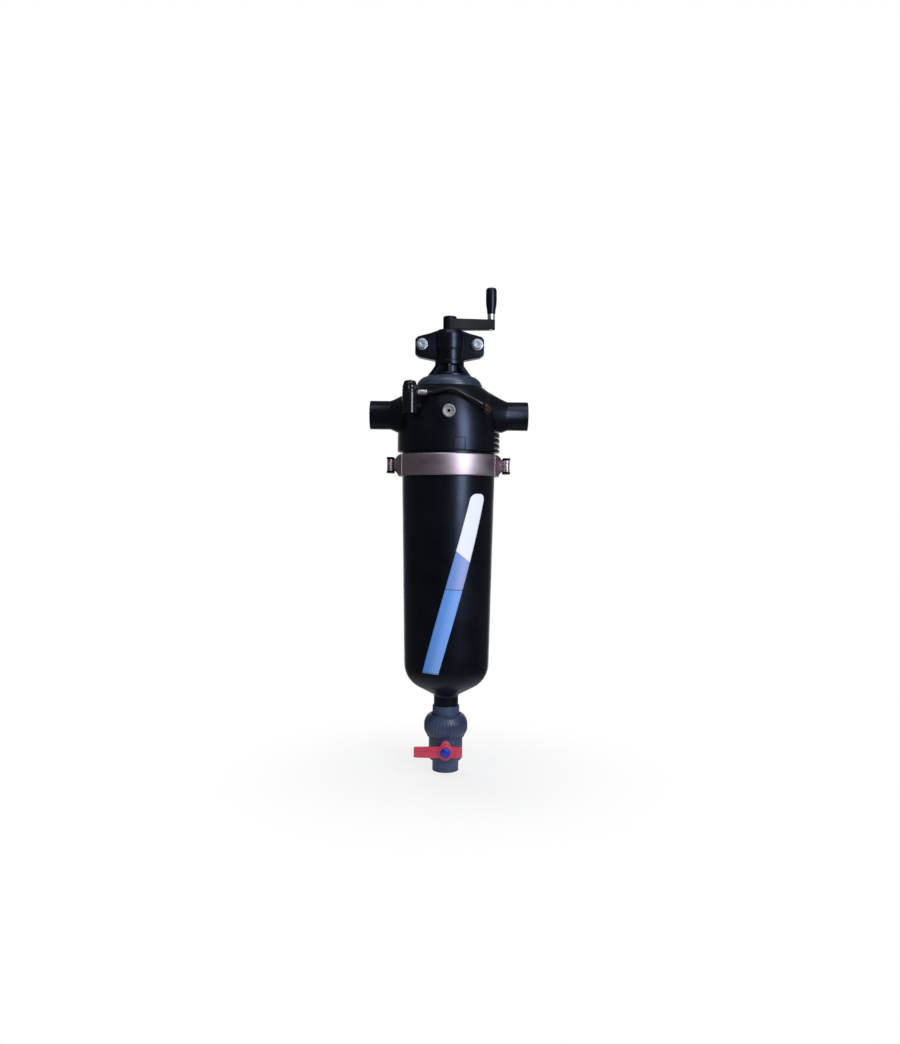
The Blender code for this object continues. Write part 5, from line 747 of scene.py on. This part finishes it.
facing = add(tree, "ShaderNodeCombineXYZ", {"Z": turn.outputs[0]})
placed = add(tree, "GeometryNodeInstanceOnPoints", {"Points": circle.outputs[0], "Instance": given["Geometry"],
                                                    "Rotation": facing.outputs[0]})
back = add(tree, "ShaderNodeVectorMath", {0: spot.outputs[0], "Scale": -1.0}, operation="SCALE")
gathered = add(tree, "GeometryNodeSetPosition", {"Geometry": placed.outputs[0], "Offset": back.outputs[0]})
end_tree(tree, gathered.outputs[0], black_nylon)
ribs = plate("tower_ribs", [(0.0215, 0.0826), (0.0447, 0.0826), (0.0449, 0.0838), (0.0349, 0.0975), (0.0296, 0.105),
                            (0.0296, 0.1065), (0.0215, 0.1065)], -0.0024, 0.0024, FACING_FRONT, 0.0007)
grow(ribs, tree, Count=8)
carve(tower, ribs, operation="UNION")
fit(tower, black_nylon, "filter_root", "black_nylon", "bearing_tower")

# ---------------------------------------------------------------- Collar
# Screwed ring of dark blue-grey moulded PVC that holds the tower's flange down
# on the head. It slopes outwards and has a thin rim at its foot.
dark_blue_grey = moulded("moulded_dark_blue_grey_pvc", "1f2734", "3b4859", 0.24, 0.40)
collar_ring = lathe("collar_ring_piece", [
    (0.0475, 0.0771, 0.0003), (0.0475, 0.0797, 0.0008), (0.0520, 0.0793, 0.004), (0.0595, 0.0755, 0.006),
    (0.0645, 0.0705, 0.004), (0.0668, 0.0662, 0.002), (0.0672, 0.0632, 0.0006), (0.069, 0.0625, 0.0008),
    (0.069, 0.0575, 0.0005), (0.0618, 0.0575, 0), (0.0618, 0.0703, 0), (0.0573, 0.0703, 0), (0.0573, 0.0771, 0)], 128)
fit(collar_ring, dark_blue_grey, "filter_root", "blue_grey_pvc", "collar_ring")

# ---------------------------------------------------------------- Split housing
# Two black nylon halves, parted front from rear, that close round the lead
# nut and the tower's flange. Each has two ears for the through bolts.
split = 0.00015
barrel_outline = [(0, 0.1143, 0), (0.0285, 0.1143, 0.0008), (0.0285, 0.13, 0.002), (0.029, 0.134, 0.002),
                  (0.0305, 0.14, 0.004), (0.0305, 0.169, 0.002), (0.0285, 0.175, 0.002), (0.025, 0.178, 0.0012),
                  (0, 0.178, 0)]
ear = [(0.026, 0.176), (0.041, 0.1705), (0.0656, 0.164), (0.0716, 0.158), (0.0716, 0.1273), (0.0631, 0.1208),
       (0.0305, 0.1143)]
ear_outline = ear + [(-x, z) for x, z in reversed(ear)]
for name, half_turn in (("housing_front", 0.0), ("housing_rear", math.pi)):
    TURN = Matrix.Rotation(half_turn, 4, "Z")
    rounded = [tuple(point) for point in eased([(x + 1, z, 0.003) for x, z in ear_outline])]
    half = plate(name + "_piece", [(x - 1, z) for x, z in rounded], split, 0.012, TURN @ FACING_FRONT, 0.0012)
    barrel = lathe("barrel", barrel_outline, 96)
    behind = plate("behind", [(-0.1, -split), (0.1, -split), (0.1, 0.1), (-0.1, 0.1)], 0, 0.3, TURN)
    carve(barrel, behind)
    carve(half, barrel, operation="UNION")
    hollow = lathe("hollow", [(0, 0.1, 0), (0.0188, 0.1, 0), (0.0188, 0.1187, 0), (0.0233, 0.1187, 0),
                              (0.0233, 0.1243, 0), (0.0192, 0.1243, 0), (0.0192, 0.1592, 0), (0.0084, 0.1592, 0),
                              (0.0084, 0.2, 0), (0, 0.2, 0)], 72)
    holes = [lathe("ear_hole", [(0, -0.05, 0), (0.0063, -0.05, 0), (0.0063, 0.05, 0), (0, 0.05, 0)], 32,
                   Matrix.Translation((x, 0, 0.147)) @ FACING_FRONT) for x in (-0.0574, 0.0574)]
    carve(half, hollow, *holes)
    fit(half, black_nylon, "filter_root", "black_nylon", name)

# ---------------------------------------------------------------- Ear bolts
# M12 bolts of zinc-plated steel through the ears, each with a washer under
# its head and a flanged nut behind.
tree, given = new_tree("left_and_right", "Across")
line = add(tree, "GeometryNodeMeshLine", {"Count": 2})
line.mode = "OFFSET"
step = add(tree, "ShaderNodeCombineXYZ", {"X": given["Across"]})
tree.links.new(step.outputs[0], line.inputs["Offset"])
pair = add(tree, "GeometryNodeInstanceOnPoints", {"Points": line.outputs[0], "Instance": given["Geometry"]})
end_tree(tree, pair.outputs[0], zinc)
left_and_right = tree
LEFT_EAR = Matrix.Translation((-0.0574, 0, 0.147)) @ FACING_FRONT
bolts = lathe("ear_bolts", [(0, -0.0278, 0), (0.0052, -0.0278, 0), (0.006, -0.0268, 0), (0.006, 0.0151, 0),
                            (0, 0.0151, 0)], 48, LEFT_EAR)
hex_head = plate("bolt_hexagon", hexagon(0.018), 0.0151, 0.0224, LEFT_EAR, 0.0004)
chamfer = lathe("bolt_chamfer", [(0, 0.01, 0), (0.012, 0.01, 0), (0.012, 0.0198, 0.0), (0.0082, 0.0226, 0.0),
                                 (0, 0.0226, 0)], 64, LEFT_EAR)
carve(hex_head, chamfer, operation="INTERSECT")
carve(hex_head, lathe("bolt_dish", [(0, 0.0206, 0), (0.0035, 0.0208, 0.001), (0.0062, 0.03, 0), (0, 0.03, 0)], 40,
                      LEFT_EAR))
carve(bolts, hex_head, operation="UNION")
grow(bolts, left_and_right, Across=0.1148)
fit(bolts, None, "filter_root", "zinc_plated_steel", "ear_bolt_left", "ear_bolt_right")
washers = lathe("ear_washers", [(0.0063, 0.0123, 0.0001), (0.012, 0.0123, 0.0003), (0.012, 0.0148, 0.0004),
                                (0.0063, 0.0148, 0.0002)], 64, LEFT_EAR)
grow(washers, left_and_right, Across=0.1148)
fit(washers, None, "filter_root", "zinc_plated_steel", "ear_washer_left", "ear_washer_right")
nuts = plate("ear_nuts", hexagon(0.019), -0.0248, -0.0148, LEFT_EAR, 0.0006)
nut_flange = lathe("nut_flange", [(0, -0.0148, 0), (0.0112, -0.0148, 0.0005), (0.012, -0.0123, 0.0003),
                                  (0, -0.0123, 0)], 64, LEFT_EAR)
carve(nuts, nut_flange, operation="UNION")
carve(nuts, lathe("nut_bore", [(0, -0.03, 0), (0.0063, -0.03, 0), (0.0063, -0.01, 0), (0, -0.01, 0)], 40, LEFT_EAR))
grow(nuts, left_and_right, Across=0.1148)
fit(nuts, None, "filter_root", "zinc_plated_steel", "ear_nut_left", "ear_nut_right")

# ---------------------------------------------------------------- Crank
# Black nylon arm on the spindle's square end, held by a screw in its hub. The
# grip turns freely on a zinc-plated pin with a bright shoulder.
arm_outline = [tuple(point) for point in eased([(1, -0.012, 0.0), (1.094, -0.009, 0.0065), (1.094, 0.009, 0.0065),
                                                (1, 0.012, 0.0)])]
shape = bmesh.new()
bottom = [shape.verts.new((x - 1, y, 0.1796 + 0.0012 * (x - 1) / 0.094)) for x, y in arm_outline]
top = [shape.verts.new((x - 1, y, 0.2021 - 0.0018 * (x - 1) / 0.094)) for x, y in arm_outline]
shape.faces.new(bottom)
shape.faces.new(top)
for index in range(len(bottom)):
    following = (index + 1) % len(bottom)
    shape.faces.new((bottom[index], bottom[following], top[following], top[index]))
rims = [edge for edge in shape.edges if (edge.verts[0] in bottom) == (edge.verts[1] in bottom)]
bmesh.ops.bevel(shape, geom=rims, offset=0.0016, segments=4, profile=0.5, affect="EDGES")
arm = as_piece("crank_arm_piece", shape)
hub = lathe("hub", [(0, 0.179, 0), (0.014, 0.179, 0.0008), (0.014, 0.207, 0.0016), (0, 0.207, 0)], 72)
carve(arm, hub, operation="UNION")
square = 0.0111 / 2
square_hole = plate("square_hole", [(-square, -square), (square, -square), (square, square), (-square, square)],
                    0.17, 0.1975)
carve(arm, square_hole, lathe("counterbore", [(0, 0.2, 0), (0.0058, 0.2, 0), (0.0058, 0.22, 0), (0, 0.22, 0)], 40),
      lathe("screw_pass", [(0, 0.19, 0), (0.0033, 0.19, 0), (0.0033, 0.203, 0), (0, 0.203, 0)], 32),
      lathe("pin_pass", [(0, 0.17, 0), (0.0043, 0.17, 0), (0.0043, 0.22, 0), (0, 0.22, 0)], 32,
            Matrix.Translation((0.086, 0, 0))))
dull_nylon = moulded("moulded_dull_nylon", "050608", "0b0c11", 0.50, 0.62, shine=0.18)
fit(arm, dull_nylon, "scanner", "black_nylon", "crank_arm")
screw = lathe("hub_screw_piece", [(0, 0.1875, 0), (0.003, 0.1875, 0), (0.003, 0.2003, 0), (0.0055, 0.2003, 0.0003),
                                  (0.0055, 0.2053, 0.0007), (0, 0.2053, 0)], 48)
carve(screw, plate("screw_key", hexagon(0.005), 0.2023, 0.21))
fit(screw, zinc, "scanner", "zinc_plated_steel", "hub_screw")
GRIP = Matrix.Translation((0.086, 0, 0))
pin = lathe("grip_pin_piece", [(0, 0.1807, 0), (0.004, 0.1807, 0), (0.004, 0.20125, 0), (0.0076, 0.20125, 0.0004),
                               (0.0076, 0.21325, 0.0006), (0.004, 0.21325, 0), (0.004, 0.25405, 0),
                               (0.0062, 0.25405, 0), (0.0062, 0.25905, 0.0006), (0, 0.25905, 0)], 48, GRIP)
fit(pin, zinc, "scanner", "zinc_plated_steel", "grip_pin")
grip = lathe("crank_grip_piece", [(0.0043, 0.21355, 0), (0.0086, 0.21355, 0.0012), (0.0091, 0.2220, 0.008),
                                  (0.0108, 0.2310, 0.012), (0.0115, 0.2440, 0.014), (0.0112, 0.25975, 0.0004),
                                  (0.0065, 0.25975, 0), (0.0065, 0.25375, 0), (0.0043, 0.25375, 0)], 72, GRIP)
fit(grip, black_nylon, "grip", "black_nylon", "crank_grip")
cap = lathe("grip_cap_piece", [(0, 0.26005, 0), (0.0112, 0.26005, 0.0004), (0.0112, 0.2625, 0.002),
                               (0.0094, 0.2671, 0.003), (0.004, 0.26805, 0.002), (0, 0.26805, 0)], 72, GRIP)
fit(cap, black_nylon, "grip", "black_nylon", "grip_cap")

# ---------------------------------------------------------------- Union
# Blue-grey PVC union under the neck: a plain tail bonded on, and the big
# nut that draws the valve up to it, with grip ribs round its waist.
blue_grey = moulded("moulded_blue_grey_pvc", "2b3650", "44526e", 0.32, 0.48)
tail = lathe("union_tail_piece", [(0.0145, -0.6403, 0.0004), (0.034, -0.6403, 0.0004), (0.034, -0.6323, 0.0004),
                                  (0.028, -0.6323, 0.0004), (0.028, -0.603, 0.001), (0.024, -0.603, 0),
                                  (0.024, -0.6163, 0), (0.0145, -0.6203, 0)], 96)
fit(tail, blue_grey, "filter_root", "blue_grey_pvc", "union_tail")
nut_outline = [(0.0283, -0.632, 0), (0.0283, -0.6282, 0.0004), (0.0310, -0.6216, 0.0008), (0.0340, -0.6206, 0.0016),
               (0.0396, -0.6252, 0.003)]
bulge = [(0.0434, -0.6320, 0.001), (0.0449, -0.6372, 0.001), (0.0453, -0.6415, 0.001), (0.0453, -0.6490, 0.001),
         (0.0445, -0.6545, 0.001), (0.0420, -0.6600, 0.002)]
nut_outline += bulge + [(0.0372, -0.6673, 0.0015), (0.0353, -0.6673, 0.0003), (0.0388, -0.6665, 0), (0.0388, -0.632, 0)]
nut = lathe("union_nut_piece", nut_outline, 384)
grow(nut, fluted, Flutes=36, Depth=0.0010, Low=-0.6575, High=-0.6345, Ease=0.003)
fit(nut, blue_grey, "filter_root", "blue_grey_pvc", "union_nut")

# ---------------------------------------------------------------- Drain valve
# Ball valve of the same PVC, cement socket down. The red handle sits on the
# stem's square at the front under a blue capped screw.
VALVE = -0.6881
valve = lathe("valve_body_piece", [
    (0.0385, -0.6406, 0.0005), (0.0385, -0.6653, 0), (0.035, -0.6653, 0), (0.035, -0.7111, 0.001),
    (0.0322, -0.7151, 0.001), (0.0272, -0.7158, 0.0015), (0.0272, -0.7381, 0.0008), (0.0208, -0.7381, 0.0006),
    (0.0201, -0.7171, 0), (0.0145, -0.7171, 0), (0.0145, -0.7118, 0), (0.0208, -0.7118, 0), (0.0208, -0.699, 0),
    (0.0231, -0.699, 0), (0.0231, -0.6736, 0), (0.0288, -0.6736, 0), (0.0288, -0.6406, 0)], 128)
FRONT = Matrix.Translation((0, 0, VALVE)) @ FACING_FRONT
boss = lathe("stem_boss", [(0, 0.0291, 0), (0.016, 0.0291, 0), (0.016, 0.0475, 0.001), (0, 0.0475, 0)], 64, FRONT)
carve(valve, boss, operation="UNION")
carve(valve, lathe("stem_bore", [(0, 0.011, 0), (0.0101, 0.011, 0), (0.0101, 0.0271, 0), (0.0078, 0.0271, 0),
                                 (0.0078, 0.06, 0), (0, 0.06, 0)], 48, FRONT))
fit(valve, blue_grey, "filter_root", "blue_grey_pvc", "valve_body")

# Red ABS, moulded: strong red with a soft gloss
red_abs = moulded("moulded_red_abs", "c43048", "da526a", 0.22, 0.34, 0.00005, 0.0009)
bar = [(-0.0643, -0.0105), (0, -0.0115), (0.033, -0.0105), (0.033, 0.0105), (0, 0.0115), (-0.0643, 0.0105)]
bar_outline = [(x - 1, y) for x, y in (tuple(p) for p in eased([(x + 1, y, 0.0025) for x, y in bar]))]
handle = plate("valve_handle_piece", bar_outline, 0.05, 0.058, FRONT, 0.001)
handle_rib = plate("handle_rib", [(-0.0635, 0.0030), (0.0322, 0.0030), (0.0322, 0.0056), (-0.0635, 0.0056)], 0.055, 0.0590,
                   FRONT, 0.0005)
handle_hub = lathe("handle_hub", [(0, 0.048, 0), (0.0152, 0.048, 0.0008), (0.0152, 0.0602, 0.0015), (0, 0.0602, 0)], 72,
                   FRONT)
tab = plate("handle_tab", [(-0.0152, 0.006), (0.0152, 0.006), (0.0104, 0.0138), (0.0045, 0.0217), (0.0015, 0.0230),
                           (-0.0015, 0.0230), (-0.0045, 0.0217), (-0.0104, 0.0138)], 0.05, 0.056, FRONT, 0.0008)
carve(handle, handle_rib, handle_hub, tab, operation="UNION")
drive = 0.0108 / 2
carve(handle, plate("drive_hole", [(-drive, -drive), (drive, -drive), (drive, drive), (-drive, drive)], 0.04, 0.07,
                    FRONT))
fit(handle, red_abs, "drain_valve", "red_plastic", "valve_handle")

# Blue ABS, moulded: deep blue, a little glossier than the handle
blue_abs = moulded("moulded_blue_abs", "1c2c94", "2840b8", 0.16, 0.24, 0.00004, 0.0006)
cap_screw = lathe("handle_cap_piece", [(0, 0.05, 0), (0.0028, 0.05, 0), (0.0028, 0.0603, 0), (0.0103, 0.0603, 0.0003),
                                       (0.0103, 0.0630, 0.0018), (0.0072, 0.0656, 0.003), (0, 0.0663, 0)], 64, FRONT)
fit(cap_screw, blue_abs, "drain_valve", "blue_plastic", "handle_cap_screw")

# ---------------------------------------------------------------- Inner pieces
# Pieces inside the filter keep their CAD shape: the slotted element and its
# woven mesh, the suction tube, the spindle, the lead nut, the ball and the seals.
grey_polymer = moulded("moulded_grey_polypropylene", "b4b8bb", "c3c7c9", 0.4, 0.55)
white_ptfe = moulded("sintered_white_ptfe", "e4e4e0", "efefec", 0.4, 0.5)
rubber = moulded("moulded_nitrile_rubber", "171717", "202020", 0.6, 0.78, 0.00012)
bronze = plated("turned_bronze", "8a6238", "a17a4c", 0.3, 0.45)
woven = plated("woven_stainless_mesh", "8f8f8d", "c4c3c0", 0.3, 0.5, (300, 300, 300))
inner_finishes = {
    grey_polymer: ("filter_cage", "drain_bush", "suction_tube", "seal_nut"),
    white_ptfe: ("guide_ring", "spindle_bush", "ball_seat_upper", "ball_seat_lower"),
    rubber: ("joint_seal", "element_upper_seal", "element_lower_seal", "tower_seal", "spindle_seal", "union_seal",
             "stem_seal"),
    bronze: ("lead_nut",),
    woven: ("filter_mesh",),
    stainless: ("spindle", "spindle_pin"),
    blue_grey: ("seat_carrier", "valve_ball", "valve_stem"),
}
for finish, names in inner_finishes.items():
    for name in names:
        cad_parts[name].material_slots[0].material = finish
